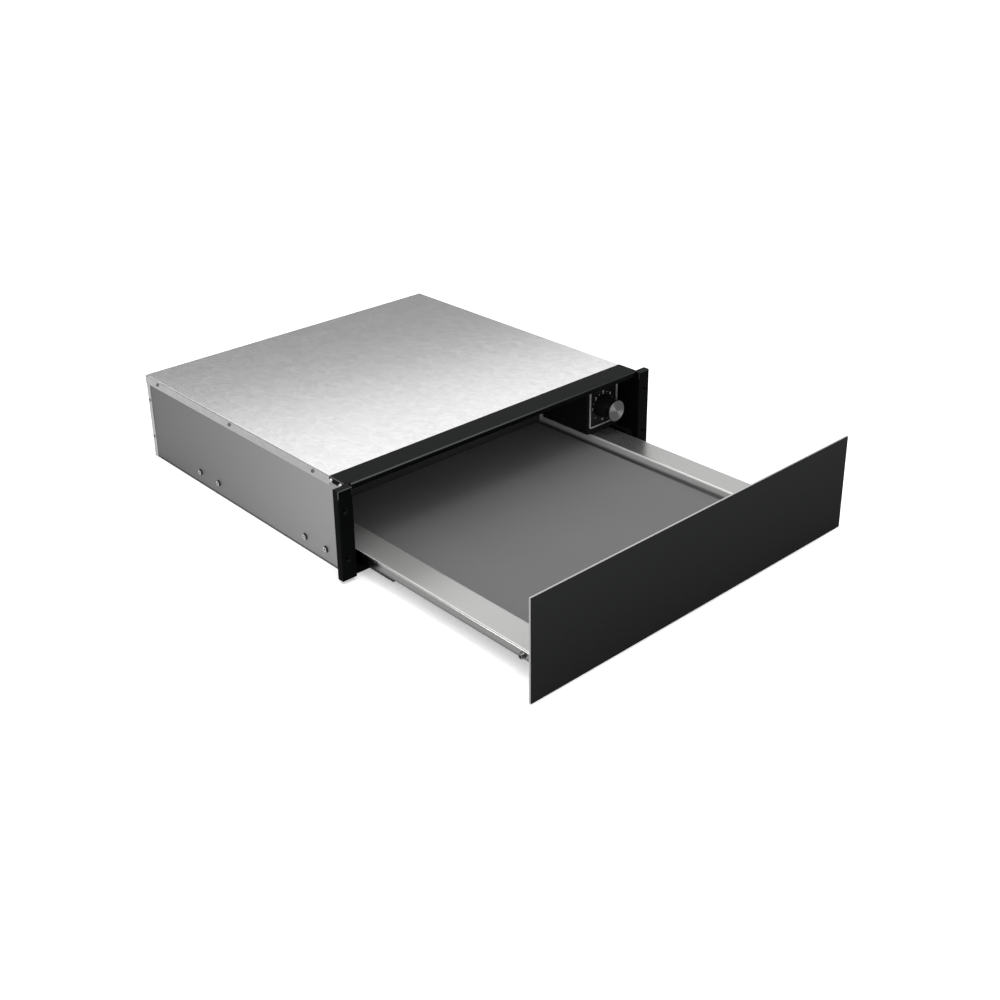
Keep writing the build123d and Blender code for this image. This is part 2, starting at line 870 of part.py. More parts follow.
# Control: spindle, knob body and knob cap, which turn together
spindle_front = knob_rear - spindle_in_knob
spindle_rear = thermostat_front + spindle_in_thermostat - knob_gap
with BuildPart() as control_spindle:
    with Locations(facing_front(control_x, spindle_rear, control_z)):
        Cylinder(spindle_radius, spindle_rear - spindle_front, align=ROUND_LOW)
save(control_spindle, "control_spindle")

with BuildPart() as knob_body:
    with Locations(facing_front(control_x, knob_rear, control_z)):
        Cone(knob_skirt_radius, knob_radius, knob_body_length, align=ROUND_LOW)
    with Locations(facing_back(control_x, knob_rear, control_z)):
        Hole(spindle_radius + running_clearance, spindle_in_knob + running_clearance)
save(knob_body, "knob_body")

with BuildPart() as knob_cap:
    with Locations(facing_front(control_x, knob_cap_rear, control_z)):
        Cylinder(knob_radius, knob_cap_length, align=ROUND_LOW)
    fillet(knob_cap.faces().sort_by(Axis.Y)[0].edges(), knob_edge)
save(knob_cap, "knob_cap")

# Warm air: duct over the tray's rear end, with the fan's inlet and outlets in its front
baffle_section = folded(
    Plane.YZ.offset(-baffle_half),
    (
        (baffle_y + baffle_flange, flange_under),
        (baffle_y, flange_under),
        (baffle_y, baffle_low),
        (rear_inner, baffle_low),
    ),
    sheet,
    fold_radius,
)
with BuildPart() as rear_baffle:
    extrude(baffle_section, amount=2 * baffle_half)
    with BuildSketch(section_at(baffle_y + 2 * sheet)):
        with Locations((0, fan_z)):
            with GridLocations(intake_slot_pitch, 0, intake_slots, 1):
                SlotOverall(intake_slot_length, intake_slot_width, rotation=90)
        with Locations((-outlet_x, fan_z), (outlet_x, fan_z)):
            with GridLocations(outlet_slot_pitch, 0, outlet_slots, 1):
                SlotOverall(outlet_slot_length, intake_slot_width, rotation=90)
        with Locations((loom_x, loom_z)):
            Circle(loom_radius + spindle_hole_air)
    extrude(amount=3 * sheet, mode=Mode.SUBTRACT)
save(rear_baffle, "rear_baffle")

# Warm air: fan motor on a strap across the rear panel
with BuildPart() as fan_motor:
    with Locations(facing_back(0, motor_front, fan_z)):
        Cylinder(motor_radius, motor_length, align=ROUND_LOW)
    fillet(fan_motor.faces().sort_by(Axis.Y)[0].edges(), motor_edge)
    with Locations(facing_front(0, motor_front, fan_z)):
        Hole(shaft_radius + running_clearance, motor_length - motor_edge)
save(fan_motor, "fan_motor")

pad_half = fan_bracket_pad / 2
foot_half = pad_half + fan_bracket_foot
strap_section = folded(
    Plane.XY.offset(fan_z - fan_bracket_height / 2),
    (
        (-foot_half, rear_inner - fan_bracket_sheet),
        (-pad_half, rear_inner - fan_bracket_sheet),
        (-pad_half, motor_rear),
        (pad_half, motor_rear),
        (pad_half, rear_inner - fan_bracket_sheet),
        (foot_half, rear_inner - fan_bracket_sheet),
    ),
    fan_bracket_sheet,
    fan_bracket_sheet + running_clearance,
)
with BuildPart() as fan_bracket:
    extrude(strap_section, amount=fan_bracket_height)
save(fan_bracket, "fan_bracket")

# Warm air: shaft and impeller, which turn together
shaft_front = impeller_front + impeller_sheet
shaft_rear = motor_rear - 2 * motor_edge
with BuildPart() as fan_shaft:
    with Locations(facing_back(0, shaft_front, fan_z)):
        Cylinder(shaft_radius, shaft_rear - shaft_front, align=ROUND_LOW)
save(fan_shaft, "fan_shaft")

with BuildPart() as fan_impeller:
    with BuildSketch(section_at(impeller_rear)):
        with Locations((0, fan_z)):
            Circle(impeller_radius)
    extrude(amount=impeller_sheet)
    with BuildSketch(section_at(impeller_rear)):
        with Locations((0, fan_z)):
            Circle(hub_radius)
            with PolarLocations(impeller_radius - blade_length / 2, impeller_blades):
                Rectangle(blade_length - 2 * impeller_sheet, impeller_sheet, rotation=blade_angle)
    extrude(amount=impeller_length)
    with BuildSketch(section_at(impeller_rear)):
        with Locations((0, fan_z)):
            Circle(shaft_radius + running_clearance)
    extrude(amount=impeller_length - impeller_sheet + running_clearance, mode=Mode.SUBTRACT)
save(fan_impeller, "fan_impeller")

# Warm air: ring heater on three stand-offs, and the thermal cut-out
with BuildPart() as heater_element:
    with Locations(facing_back(0, heater_y, fan_z)):
        Torus(heater_ring_radius, heater_tube_radius)
    with Locations(facing_back(0, baffle_back, fan_z)):
        with PolarLocations(heater_ring_radius, heater_stand_offs, start_angle=90):
            Cylinder(heater_stand_off_radius, heater_stand_off, align=ROUND_LOW)
save(heater_element, "heater_element")

with BuildPart() as thermal_cutout:
    with Locations(facing_back(cutout_x, baffle_back, cutout_z)):
        Cylinder(cutout_radius, cutout_height, align=ROUND_LOW)
        with Locations((0, 0, cutout_height)):
            with GridLocations(cutout_radius, 0, 2, 1):
                Box(blade_terminal[2], blade_terminal[0], blade_terminal[1], align=ROUND_LOW)
save(thermal_cutout, "thermal_cutout")

# Mains: terminal block on the duct's floor and gland in the rear panel
with BuildPart() as terminal_block:
    with Locations((terminal_x, terminal_y, baffle_floor)):
        Box(terminal_length, terminal_depth, terminal_height, align=ROUND_LOW)
    fillet(terminal_block.edges().filter_by(Axis.Z), spindle_radius / 2)
    with Locations((terminal_x, terminal_y, terminal_top)):
        with GridLocations(terminal_pitch, terminal_depth / 2, terminal_ways, 2):
            Hole(spindle_radius, terminal_height / 2)
save(terminal_block, "terminal_block")

with BuildPart() as cable_gland:
    with Locations(facing_back(gland_x, rear_y, gland_z)):
        Cone(gland_collar, gland_neck, gland_collar_length, align=ROUND_LOW)
        Cylinder(gland_neck, sheet + gland_nut_length, align=ROUND_HIGH)
    with BuildSketch(facing_front(gland_x, rear_inner, gland_z)):
        RegularPolygon(gland_collar, 6)
    extrude(amount=gland_nut_length)
    with Locations(facing_back(gland_x, rear_y + gland_collar_length, gland_z)):
        Hole(gland_bore, gland_collar_length + sheet + gland_nut_length)
save(cable_gland, "cable_gland")

# Wiring: loom from the thermostat along the right side to the terminal block
loom_points = (
    (control_x, thermostat_rear, control_z),
    (control_x, housing_rear - 2 * loom_bend, control_z),
    (loom_x, housing_rear + 2 * loom_bend, loom_z),
    (loom_x, terminal_y, loom_z),
    (terminal_x, terminal_y, (loom_z + terminal_top) / 2),
    (terminal_x, terminal_y, terminal_top),
)
with BuildPart() as wiring_loom:
    with BuildLine() as loom_path:
        FilletPolyline(*loom_points, radius=loom_bend)
    with BuildSketch(facing_back(*loom_points[0])):
        Circle(loom_radius)
    sweep(path=loom_path.wires()[0])
save(wiring_loom, "wiring_loom")

with BuildPart() as loom_clips:
    for clip_y in clip_ys:
        with BuildSketch(section_at(clip_y + clip_width / 2)):
            with Locations((loom_x, loom_z)):
                Circle(loom_radius + clip_sheet + running_clearance)
                Circle(loom_radius + running_clearance, mode=Mode.SUBTRACT)
            with Locations((side_inner - loom_wall_gap / 2, loom_z - loom_radius)):
                Rectangle(loom_wall_gap, clip_sheet)
            with Locations((side_inner - clip_sheet / 2, loom_z - 2 * loom_radius)):
                Rectangle(clip_sheet, 3 * loom_radius)
        extrude(amount=clip_width)
save(loom_clips, "loom_clips")

# Latch: housing on the rear panel, plunger and spring
with BuildPart() as latch_housing:
    block(
        (-latch_width / 2, latch_width / 2),
        (latch_front, rear_inner),
        (latch_z - latch_height / 2, latch_z + latch_height / 2),
    )
    fillet(latch_housing.edges().filter_by(Axis.Y), latch_back)
    with Locations(facing_front(0, latch_front, latch_z)):
        Hole(plunger_radius + running_clearance, latch_length - latch_back)
save(latch_housing, "latch_housing")

with BuildPart() as latch_plunger:
    with Locations(facing_front(0, plunger_rear, latch_z)):
        Cylinder(plunger_radius, plunger_rear - plunger_tip, align=ROUND_LOW)
    fillet(latch_plunger.faces().sort_by(Axis.Y)[0].edges(), knob_edge)
    with Locations(facing_back(0, plunger_rear, latch_z)):
        Hole(plunger_bore, plunger_rear - spring_start)
save(latch_plunger, "latch_plunger")


def biarc_joint(start, start_tangent, end, end_tangent):
    """Point where two arcs of equal tangent length meet, and the tangent length."""
    chord = end - start
    both = start_tangent + end_tangent
    spread = 2 * (1 - start_tangent.dot(end_tangent))
    reach = chord.dot(both)
    length = (sqrt(reach * reach + spread * chord.dot(chord)) - reach) / spread
    return (start + end + (start_tangent - end_tangent) * length) / 2, length


spring_low = spring_start + spring_end_gap + spring_wire
spring_high = rear_inner - latch_back - spring_end_gap - spring_wire
spring_rise = (spring_high - spring_low) / (2 * pi * spring_turns)


def spring_point(angle):
    """Point of the spring's centre line and its direction there."""
    across = spring_radius * cos(angle)
    up = spring_radius * sin(angle)
    place = Vector(across, spring_low + spring_rise * angle, latch_z + up)
    return place, Vector(-up, spring_rise, across).normalized()


with BuildPart() as latch_spring:
    with BuildLine() as spring_path:
        for quarter in range(4 * spring_turns):
            near, near_heading = spring_point(quarter * pi / 2)
            far, far_heading = spring_point((quarter + 1) * pi / 2)
            joint, reach = biarc_joint(near, near_heading, far, far_heading)
            TangentArc(near, joint, tangent=near_heading)
            TangentArc(joint, far, tangent=joint - near - near_heading * reach)
    spring_begin, spring_heading = spring_point(0)
    with BuildSketch(Plane(origin=spring_begin, z_dir=spring_heading)):
        Circle(spring_wire)
    sweep(path=spring_path.wires()[0])
save(latch_spring, "latch_spring")

# Fasteners
with BuildPart() as cover_screws:
    with Locations(
        *(facing_out(side * half_width, y, cover_screw_z) for side in (-1, 1) for y in cover_screw_ys)
    ):
        pan_screw(cover_screw_head, cover_screw_radius, cover_screw_length)
save(cover_screws, "cover_screws")

with BuildPart() as runner_screws:
    with Locations(
        *(facing_out(side * side_outer, y, runner_screw_z) for side in (-1, 1) for y in runner_screw_ys)
    ):
        pan_screw(runner_screw_head, runner_screw_radius, runner_screw_length)
save(runner_screws, "runner_screws")

with BuildPart() as frame_screws:
    with Locations(
        *(facing_out(side * rail_tab_x, y, frame_screw_z) for side in (-1, 1) for y in frame_screw_ys)
    ):
        pan_screw(frame_screw_head, frame_screw_radius, frame_screw_length)
save(frame_screws, "frame_screws")

with BuildPart() as rear_rivets:
    with Locations(
        *(facing_out(side * half_width, rear_rivet_y, z) for side in (-1, 1) for z in rear_rivet_heights)
    ):
        rivet(2 * sheet + running_clearance)
save(rear_rivets, "rear_rivets")

with BuildPart() as post_rivets:
    for side in (-1, 1):
        with Locations(*(facing_back(side * post_rivet_x, front_y + sheet, z) for z in post_rivet_heights)):
            rivet(sheet + post_rivet_grip)
save(post_rivets, "post_rivets")
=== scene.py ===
"""Looks of a built-in warming drawer: finishes, dial print, knob face, latch spring and a pale studio."""

import json
import math

import bmesh
import bpy
from bpy.props import FloatProperty, FloatVectorProperty, IntProperty, PointerProperty
from mathutils import Matrix, Vector


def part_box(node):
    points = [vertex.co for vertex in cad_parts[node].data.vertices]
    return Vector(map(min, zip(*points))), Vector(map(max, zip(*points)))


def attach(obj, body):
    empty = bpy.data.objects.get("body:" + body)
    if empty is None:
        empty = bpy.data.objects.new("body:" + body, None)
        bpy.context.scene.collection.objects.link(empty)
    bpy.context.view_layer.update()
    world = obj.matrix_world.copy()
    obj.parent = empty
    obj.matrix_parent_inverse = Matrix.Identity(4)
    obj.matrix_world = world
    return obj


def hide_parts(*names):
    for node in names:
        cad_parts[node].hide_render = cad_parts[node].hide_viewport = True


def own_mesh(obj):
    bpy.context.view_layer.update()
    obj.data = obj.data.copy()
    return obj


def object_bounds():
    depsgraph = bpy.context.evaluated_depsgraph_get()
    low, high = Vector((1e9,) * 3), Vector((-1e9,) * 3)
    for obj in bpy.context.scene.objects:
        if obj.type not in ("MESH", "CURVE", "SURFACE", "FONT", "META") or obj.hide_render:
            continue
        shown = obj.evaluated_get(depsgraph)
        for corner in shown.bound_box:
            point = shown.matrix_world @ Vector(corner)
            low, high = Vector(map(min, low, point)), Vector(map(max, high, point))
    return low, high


bl_info = {
    "name": "Warming Drawer Looks",
    "version": (1, 0, 0),
    "blender": (4, 5, 0),
    "location": "3D View > Sidebar > Drawer",
    "description": "Gives a built-in warming drawer its finishes, small details and studio",
    "category": "Object",
}

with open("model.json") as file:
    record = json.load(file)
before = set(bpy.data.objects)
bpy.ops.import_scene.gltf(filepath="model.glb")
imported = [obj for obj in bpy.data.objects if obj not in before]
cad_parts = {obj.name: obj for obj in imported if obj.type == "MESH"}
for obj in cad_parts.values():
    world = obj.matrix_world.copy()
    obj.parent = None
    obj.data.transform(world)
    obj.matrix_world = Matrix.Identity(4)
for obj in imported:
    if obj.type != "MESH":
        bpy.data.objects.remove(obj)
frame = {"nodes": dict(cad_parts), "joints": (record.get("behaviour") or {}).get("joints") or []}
cad_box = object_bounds()
MM = 0.001
DEPTHWISE = (0.0, 1.0, 0.0)
JOINTS = {joint["name"]: joint for joint in frame["joints"]}
DIAL_AXIS = Vector(JOINTS["knob_turn"]["pos_m"])
# Degrees round the dial, counted from its right-hand side, of the numbers and of the dots between them.
DIAL_NUMBERS = {"0": 270.0, "1": 180.0, "2": 135.0, "3": 90.0, "4": 45.0, "5": 0.0}
DIAL_DOTS = (22.5, 67.5, 112.5, 157.5, 225.0)
# Lines per metre of the brushed steels, along X, Y and Z.
RAIL_GRAIN = (1400.0, 24.0, 1400.0)
LINER_GRAIN = (12.0, 1700.0, 1700.0)
SPINDLE_GRAIN = (900.0, 900.0, 30.0)
FAN_GRAIN = (600.0, 40.0, 600.0)
SPRING_GRAIN = (300.0, 300.0, 300.0)
SCREW_GRAIN = (700.0, 700.0, 700.0)
# Limits of squareness between which a face starts to count as facing an axis.
FACING_FROM, FACING_TO = 0.6, 0.9
# Points of a mesh that lie nearer than this are one point.
WELD = 0.001 * MM
PRINT_WELD = 0.02 * MM
# The level direction in which the viewer looks, and the studio floor's half width and drop.
HEADING = Vector((0.75, 0.66, 0.0))
FLOOR_REACH = 20.0
FLOOR_DROP = 0.2 * MM


def size_property(name, description, millimetres):
    """A length that a user may change, given in millimetres."""
    return FloatProperty(
        name=name, description=description, default=millimetres * MM, unit="LENGTH", precision=5
    )


def colour_property(name, description, colour):
    """A linear colour that a user may change."""
    return FloatVectorProperty(
        name=name, description=description, default=colour, subtype="COLOR", min=0.0, max=1.0
    )


def angle_property(name, description, degrees):
    """An angle that a user may change, given in degrees."""
    return FloatProperty(
        name=name, description=description, default=math.radians(degrees), subtype="ANGLE"
    )


def power_property(name, description, watts):
    """A lamp's power."""
    return FloatProperty(name=name, description=description, default=watts, unit="POWER")


def glow_property(name, description, strength):
    """The brightness of a glowing surface."""
    return FloatProperty(name=name, description=description, default=strength)


class FinishSettings(bpy.types.PropertyGroup):
    """Colours of the drawer's finishes."""

    zinc: colour_property("Zinc", "Spangled zinc of the cover and the rear", (0.62, 0.62, 0.62))
    side_zinc: colour_property("Side zinc", "Plain zinc of the side panels", (0.172, 0.172, 0.172))
    frame_black: colour_property("Frame black", "Powder coat of the front frame", (0.0022, 0.0024, 0.0024))
    # Painted sheen: a lighter copy of the frame's black for its upward faces.
    frame_top_sheen: colour_property("Frame top", "Coat on the frame's upward faces", (0.0125, 0.013, 0.013))
    # Painted highlight: a pale colour for the frame's upper folds.
    frame_fold_highlight: colour_property("Frame edge", "Thin coat on the frame's upper folds", (0.085, 0.09, 0.09))
    stainless: colour_property("Stainless", "Brushed steel of the tray", (0.36, 0.36, 0.356))
    plate_edge: colour_property("Plate edge", "Bare aluminium edge of the front", (0.45, 0.45, 0.445))
    # Painted shade: a darker copy of the plate's metal for its ends.
    plate_end_shade: colour_property("Plate end", "Coated ends of the front", (0.26, 0.26, 0.26))
    front_black: colour_property("Front black", "Matt coating of the front", (0.0152, 0.0155, 0.0155))
    mat_grey: colour_property("Mat grey", "Silicone of the anti-slip mat", (0.138, 0.138, 0.138))
    runner_zinc: colour_property("Runner zinc", "Zinc of the runners", (0.20, 0.205, 0.21))
    # Painted shade: a near-black zinc for the middle rails, which stand in shade.
    runner_shaded: colour_property("Runner dark", "Dark zinc of the middle rails", (0.035, 0.035, 0.035))
    bolt_zinc: colour_property("Bolt zinc", "Zinc of the front's bolts", (0.12, 0.12, 0.115))
    plastic_black: colour_property("Plastic black", "Moulded black plastic", (0.007, 0.007, 0.0075))
    dial_black: colour_property("Dial black", "Satin face of the control", (0.006, 0.006, 0.007))
    dial_white: colour_property("Dial white", "Print on the control", (0.62, 0.62, 0.61))
    trim_metal: colour_property("Trim metal", "Silver bezel around the control", (0.45, 0.45, 0.45))
    knob_metal: colour_property("Knob metal", "Spun aluminium of the knob's face", (0.064, 0.064, 0.064))
    screw_zinc: colour_property("Screw zinc", "Bright zinc of the frame's screws", (0.55, 0.55, 0.54))
    screw_dark: colour_property("Screw dark", "Dark zinc of cover screws and rivets", (0.10, 0.10, 0.098))
    # Painted highlight: a bright colour for the faces of the runners' screws.
    screw_face_highlight: colour_property("Screw face", "Bright faces of the runners' screws", (0.48, 0.48, 0.47))
    heater_steel: colour_property("Heater steel", "Heat-tinted tube of the heater", (0.17, 0.15, 0.13))
    motor_grey: colour_property("Motor grey", "Lacquer of the fan motor", (0.16, 0.17, 0.18))
    pale_plastic: colour_property("Pale plastic", "Moulded terminals and thermostat", (0.74, 0.72, 0.66))
    sleeve_black: colour_property("Sleeve black", "Braided sleeve of the wiring", (0.02, 0.02, 0.022))


class DialSettings(bpy.types.PropertyGroup):
    """Sizes of the control's print and the knob's face."""

    ring_radius: size_property("Ring radius", "Distance of the dial's marks from its axis", 22.5)
    digit_height: size_property("Digit height", "Height of the dial's numbers", 7.0)
    dot_radius: size_property("Dot radius", "Radius of the dots between the numbers", 0.7)
    print_height: size_property("Print height", "Thickness of the printed ink", 0.06)
    bezel_width: size_property("Bezel width", "Width of the bezel around the control", 1.2)
    bezel_height: size_property("Bezel height", "How far that bezel stands proud", 2.2)
    groove_pitch: size_property("Groove pitch", "Spacing of the rings turned in the knob's face", 0.8)
    groove_depth: size_property("Groove depth", "Depth of those rings", 0.2)
    rim_width: size_property("Rim width", "Width of the turned rim of the knob's face", 1.1)
    pointer_width: size_property("Pointer width", "Width of the knob's pointer", 1.4)


class LatchSettings(bpy.types.PropertyGroup):
    """Sizes of the push latch's spring."""

    wire_radius: size_property("Wire radius", "Radius of the spring's wire", 0.35)
    turns: IntProperty(name="Turns", description="Turns of the spring", default=6)
    turn_steps: IntProperty(name="Turn steps", description="Facets of each turn", default=24)


class StudioSettings(bpy.types.PropertyGroup):
    """Camera, lamps and floor."""

    camera_place: FloatVectorProperty(
        name="Camera place",
        description="Where the camera stands",
        default=(-1.143, -1.495, 0.900),
        subtype="TRANSLATION",
        unit="LENGTH",
    )
    azimuth: angle_property("Azimuth", "Turn of the camera about the upright axis", -40.71)
    elevation: angle_property("Elevation", "How far the camera looks down", 23.38)
    roll: angle_property("Roll", "Tilt of the camera about its own axis", -1.43)
    lens: FloatProperty(name="Lens", description="Focal length", default=47.4, unit="CAMERA")
    shift_x: FloatProperty(name="Shift X", description="Sideways shift of the picture", default=0.04)
    shift_y: FloatProperty(name="Shift Y", description="Upright shift of the picture", default=-0.10)
    floor_colour: colour_property("Floor", "Pale studio floor", (0.89, 0.89, 0.89))
    floor_glow: glow_property("Floor glow", "Light that comes through the floor", 0.32)
    dome_low: glow_property("Dome low", "Brightness of the light dome's foot", 0.30)
    dome_high: glow_property("Dome high", "Brightness of the light dome's top", 1.45)
    dome_front: glow_property("Dome front", "Extra brightness at the viewer's side", 1.2)
    dome_hem: glow_property("Dome hem", "Extra brightness near the horizon", 0.8)
    hem_low: angle_property("Hem low", "Height angle up to which the hem is brightest", 8.0)
    hem_high: angle_property("Hem high", "Height angle where the hem has faded", 15.0)
    dome_foot: angle_property("Dome foot", "Height angle where the dome starts to brighten", 33.0)
    dome_crown: angle_property("Dome crown", "Height angle where the dome is brightest", 66.0)
    back_power: power_property("Back light", "Softbox that the cover mirrors", 9.0)
    key_power: power_property("Key light", "Softbox over the front", 8.0)
    rim_power: power_property("Rim light", "Softbox above the rear, which lights the bends", 1.5)
    side_power: power_property("Side light", "Softbox to the front and left", 2.5)


class Wire:
    """A socket of a shader tree, with the maths that the finishes use."""

    def __init__(self, finish, socket):
        self.finish = finish
        self.socket = socket

    def maths(self, operation, first, second):
        """Add a Math node."""
        return self.finish.node("ShaderNodeMath", {"operation": operation}, {0: first, 1: second})

    def __add__(self, other):
        return self.maths("ADD", self, other)

    def __radd__(self, other):
        return self.maths("ADD", other, self)

    def __sub__(self, other):
        return self.maths("SUBTRACT", self, other)

    def __rsub__(self, other):
        return self.maths("SUBTRACT", other, self)

    def __mul__(self, other):
        return self.maths("MULTIPLY", self, other)

    def __rmul__(self, other):
        return self.maths("MULTIPLY", other, self)

    def __pow__(self, other):
        return self.maths("POWER", self, other)

    def or_more(self, other):
        """The larger of the two."""
        return self.maths("MAXIMUM", self, other)


class Tree:
    """A shader tree in the making, with one method that adds any node."""

    def __init__(self, owner):
        owner.use_nodes = True
        self.tree = owner.node_tree

    def node(self, kind, settings=None, inputs=None, output=0):
        """Add a node, set it up, feed its sockets and give back one of its outputs."""
        made = self.tree.nodes.new(kind)
        for setting, value in (settings or {}).items():
            setattr(made, setting, value)
        for socket, value in (inputs or {}).items():
            self.feed(made.inputs[socket], value)
        return Wire(self, made.outputs[output])

    def feed(self, socket, value):
        """Link a wire to a socket, or set the socket's own value."""
        if isinstance(value, Wire):
            self.tree.links.new(value.socket, socket)
        else:
            socket.default_value = value


class Finish(Tree):
    """A material in the making, and the patterns that the finishes share."""

    def __init__(self, name, constants=None):
        self.material = bpy.data.materials.new(name)
        super().__init__(self.material)
        self.shader = self.tree.nodes["Principled BSDF"]
        for socket, value in (constants or {}).items():
            self.shader.inputs[socket].default_value = value
        self.place = self.node("ShaderNodeTexCoord", output="Object")
        self.facing = self.node("ShaderNodeTexCoord", output="Normal")

    def stretched(self, per_metre, turn=(0.0, 0.0, 0.0)):
        """The piece's own coordinates, scaled apart along X, Y and Z."""
        return self.node(
            "ShaderNodeMapping", {}, {"Vector": self.place, "Scale": per_metre, "Rotation": turn}
        )

    def noise(self, vector, scale=1.0, detail=3.0, roughness=0.55):
        """Smooth noise from 0 to 1."""
        return self.node(
            "ShaderNodeTexNoise",
            {},
            {"Vector": vector, "Scale": scale, "Detail": detail, "Roughness": roughness},
        )

    def cells(self, vector, scale):
        """A random grey for each cell of a crystal pattern."""
        colour = self.node("ShaderNodeTexVoronoi", {}, {"Vector": vector, "Scale": scale}, output="Color")
        return self.node("ShaderNodeSeparateColor", {}, {"Color": colour}, output="Red")

    def spread(self, value, low, high):
        """A value from 0 to 1 brought between low and high."""
        return value * (high - low) + low

    def tint(self, colour, low, high, share):
        """A colour darkened to low and lightened to high of itself as share goes from 0 to 1."""
        darker = [channel * low for channel in colour] + [1.0]
        lighter = [min(channel * high, 1.0) for channel in colour] + [1.0]
        return self.mix(share, darker, lighter)

    def mix(self, share, first, second):
        """The first colour where share is 0, the second where it is 1."""
        return self.node(
            "ShaderNodeMix",
            {"data_type": "RGBA"},
            {"Factor": share, "A": first, "B": second},
            output="Result",
        )

    def along(self, vector, axis):
        """One part of a vector."""
        return self.node("ShaderNodeSeparateXYZ", {}, {"Vector": vector}, output=axis)

    def ramp(self, value, start, end):
        """0 up to the start and 1 from the end, with an even rise between them."""
        return self.node("ShaderNodeMapRange", {}, {"Value": value, "From Min": start, "From Max": end})

    def squareness(self):
        """How squarely the surface faces X, Y and Z, each from 0 to 1."""
        factors = {0: self.facing, 1: self.facing}
        return self.node("ShaderNodeVectorMath", {"operation": "MULTIPLY"}, factors)

    def outward(self):
        """1 on faces that point away from the drawer's middle, 0 on faces that point to it."""
        margin = 0.05
        return self.ramp(self.along(self.facing, "X") * self.along(self.place, "X"), -margin, margin)

    def bends(self):
        """0 on faces that are square to the axes, rising to 1 midway round a bend."""
        square = self.squareness()
        flat = self.node(
            "ShaderNodeVectorMath", {"operation": "DOT_PRODUCT"}, {0: square, 1: square}, output="Value"
        )
        return (1.0 - flat) * 2.0

    def paint(self, colour=None, roughness=None, relief=None, depth=0.0, reach=0.3, metal=None):
        """Feed the shader a colour, a roughness, a relief with its depth in metres and a share of metal."""
        if colour is not None:
            self.feed(self.shader.inputs["Base Color"], colour)
        if roughness is not None:
            self.feed(self.shader.inputs["Roughness"], roughness)
        if metal is not None:
            self.feed(self.shader.inputs["Metallic"], metal)
        if relief is not None:
            inputs = {"Height": relief, "Distance": depth, "Strength": reach}
            bump = self.node("ShaderNodeBump", {}, inputs, output="Normal")
            self.feed(self.shader.inputs["Normal"], bump)
        return self.material


def spangled_zinc(name, colour):
    """Zinc-coated sheet with a fine, low spangle, and painted shade darkening the flanges that are bent
    over the sides.
    """
    finish = Finish(name, {"Metallic": 1.0})
    crystals = finish.cells(finish.stretched((1.0, 0.72, 1.0)), scale=120.0)
    flecks = finish.cells(finish.stretched((1.0, 0.5, 1.0), (0.0, 0.0, 0.6)), scale=300.0)
    cloud = finish.noise(finish.place, scale=30.0, detail=3.0)
    grain = crystals * 0.5 + flecks * 0.5
    fold_start, fold_end = 0.65, 0.98
    # Painted shade: the flanges that face sideways take a much darker copy of the zinc.
    side_flange_shade = finish.ramp(finish.along(finish.squareness(), "X"), fold_start, fold_end)
    tone = grain * 0.92 + cloud * 0.08
    bright = finish.tint(colour, 0.92, 1.08, tone)
    side_shade_colour = finish.tint(colour, 0.40, 0.46, tone)
    return finish.paint(
        finish.mix(side_flange_shade, bright, side_shade_colour),
        finish.spread(cloud, 0.225, 0.24),
        relief=grain,
        depth=0.01 * MM,
        reach=0.015,
    )


def plain_zinc(name, colour):
    """Plain zinc-coated sheet, drawn lengthwise, with painted shade that darkens it towards the rear and
    painted shade on its inner faces.
    """
    finish = Finish(name, {"Metallic": 0.5})
    rolled = finish.noise(finish.stretched((900.0, 14.0, 900.0)), detail=2.0)
    cloud = finish.noise(finish.place, scale=7.0, detail=5.0)
    marks = rolled * 0.4 + cloud * 0.6
    rear, panel_depth = cad_box[1].y, 500.0 * MM
    # Painted shade: the outer faces darken towards the rear.
    rearward = finish.ramp(finish.along(finish.place, "Y"), rear - panel_depth, rear)
    clear, rear_shaded = finish.tint(colour, 0.93, 1.07, marks), finish.tint(colour, 0.36, 0.42, marks)
    outside = finish.mix(rearward, clear, rear_shaded)
    return finish.paint(
        # Painted shade: the inner faces, which point to the drawer's middle, are nearly black.
        finish.mix(finish.outward(), finish.tint(colour, 0.07, 0.10, marks), outside),
        finish.spread(cloud, 0.46, 0.58),
        relief=rolled,
        depth=0.02 * MM,
        reach=0.15,
    )


def powder_coat(name, colour, rough):
    """Satin powder coat with a fine orange peel."""
    finish = Finish(name, {"Specular IOR Level": 0.3})
    peel = finish.noise(finish.place, scale=900.0, detail=2.0)
    cloud = finish.noise(finish.place, scale=12.0, detail=4.0)
    return finish.paint(
        finish.tint(colour, 0.88, 1.14, cloud),
        finish.spread(cloud * 0.6 + peel * 0.4, rough - 0.05, rough + 0.07),
        relief=peel,
        depth=0.05 * MM,
        reach=0.25,
    )


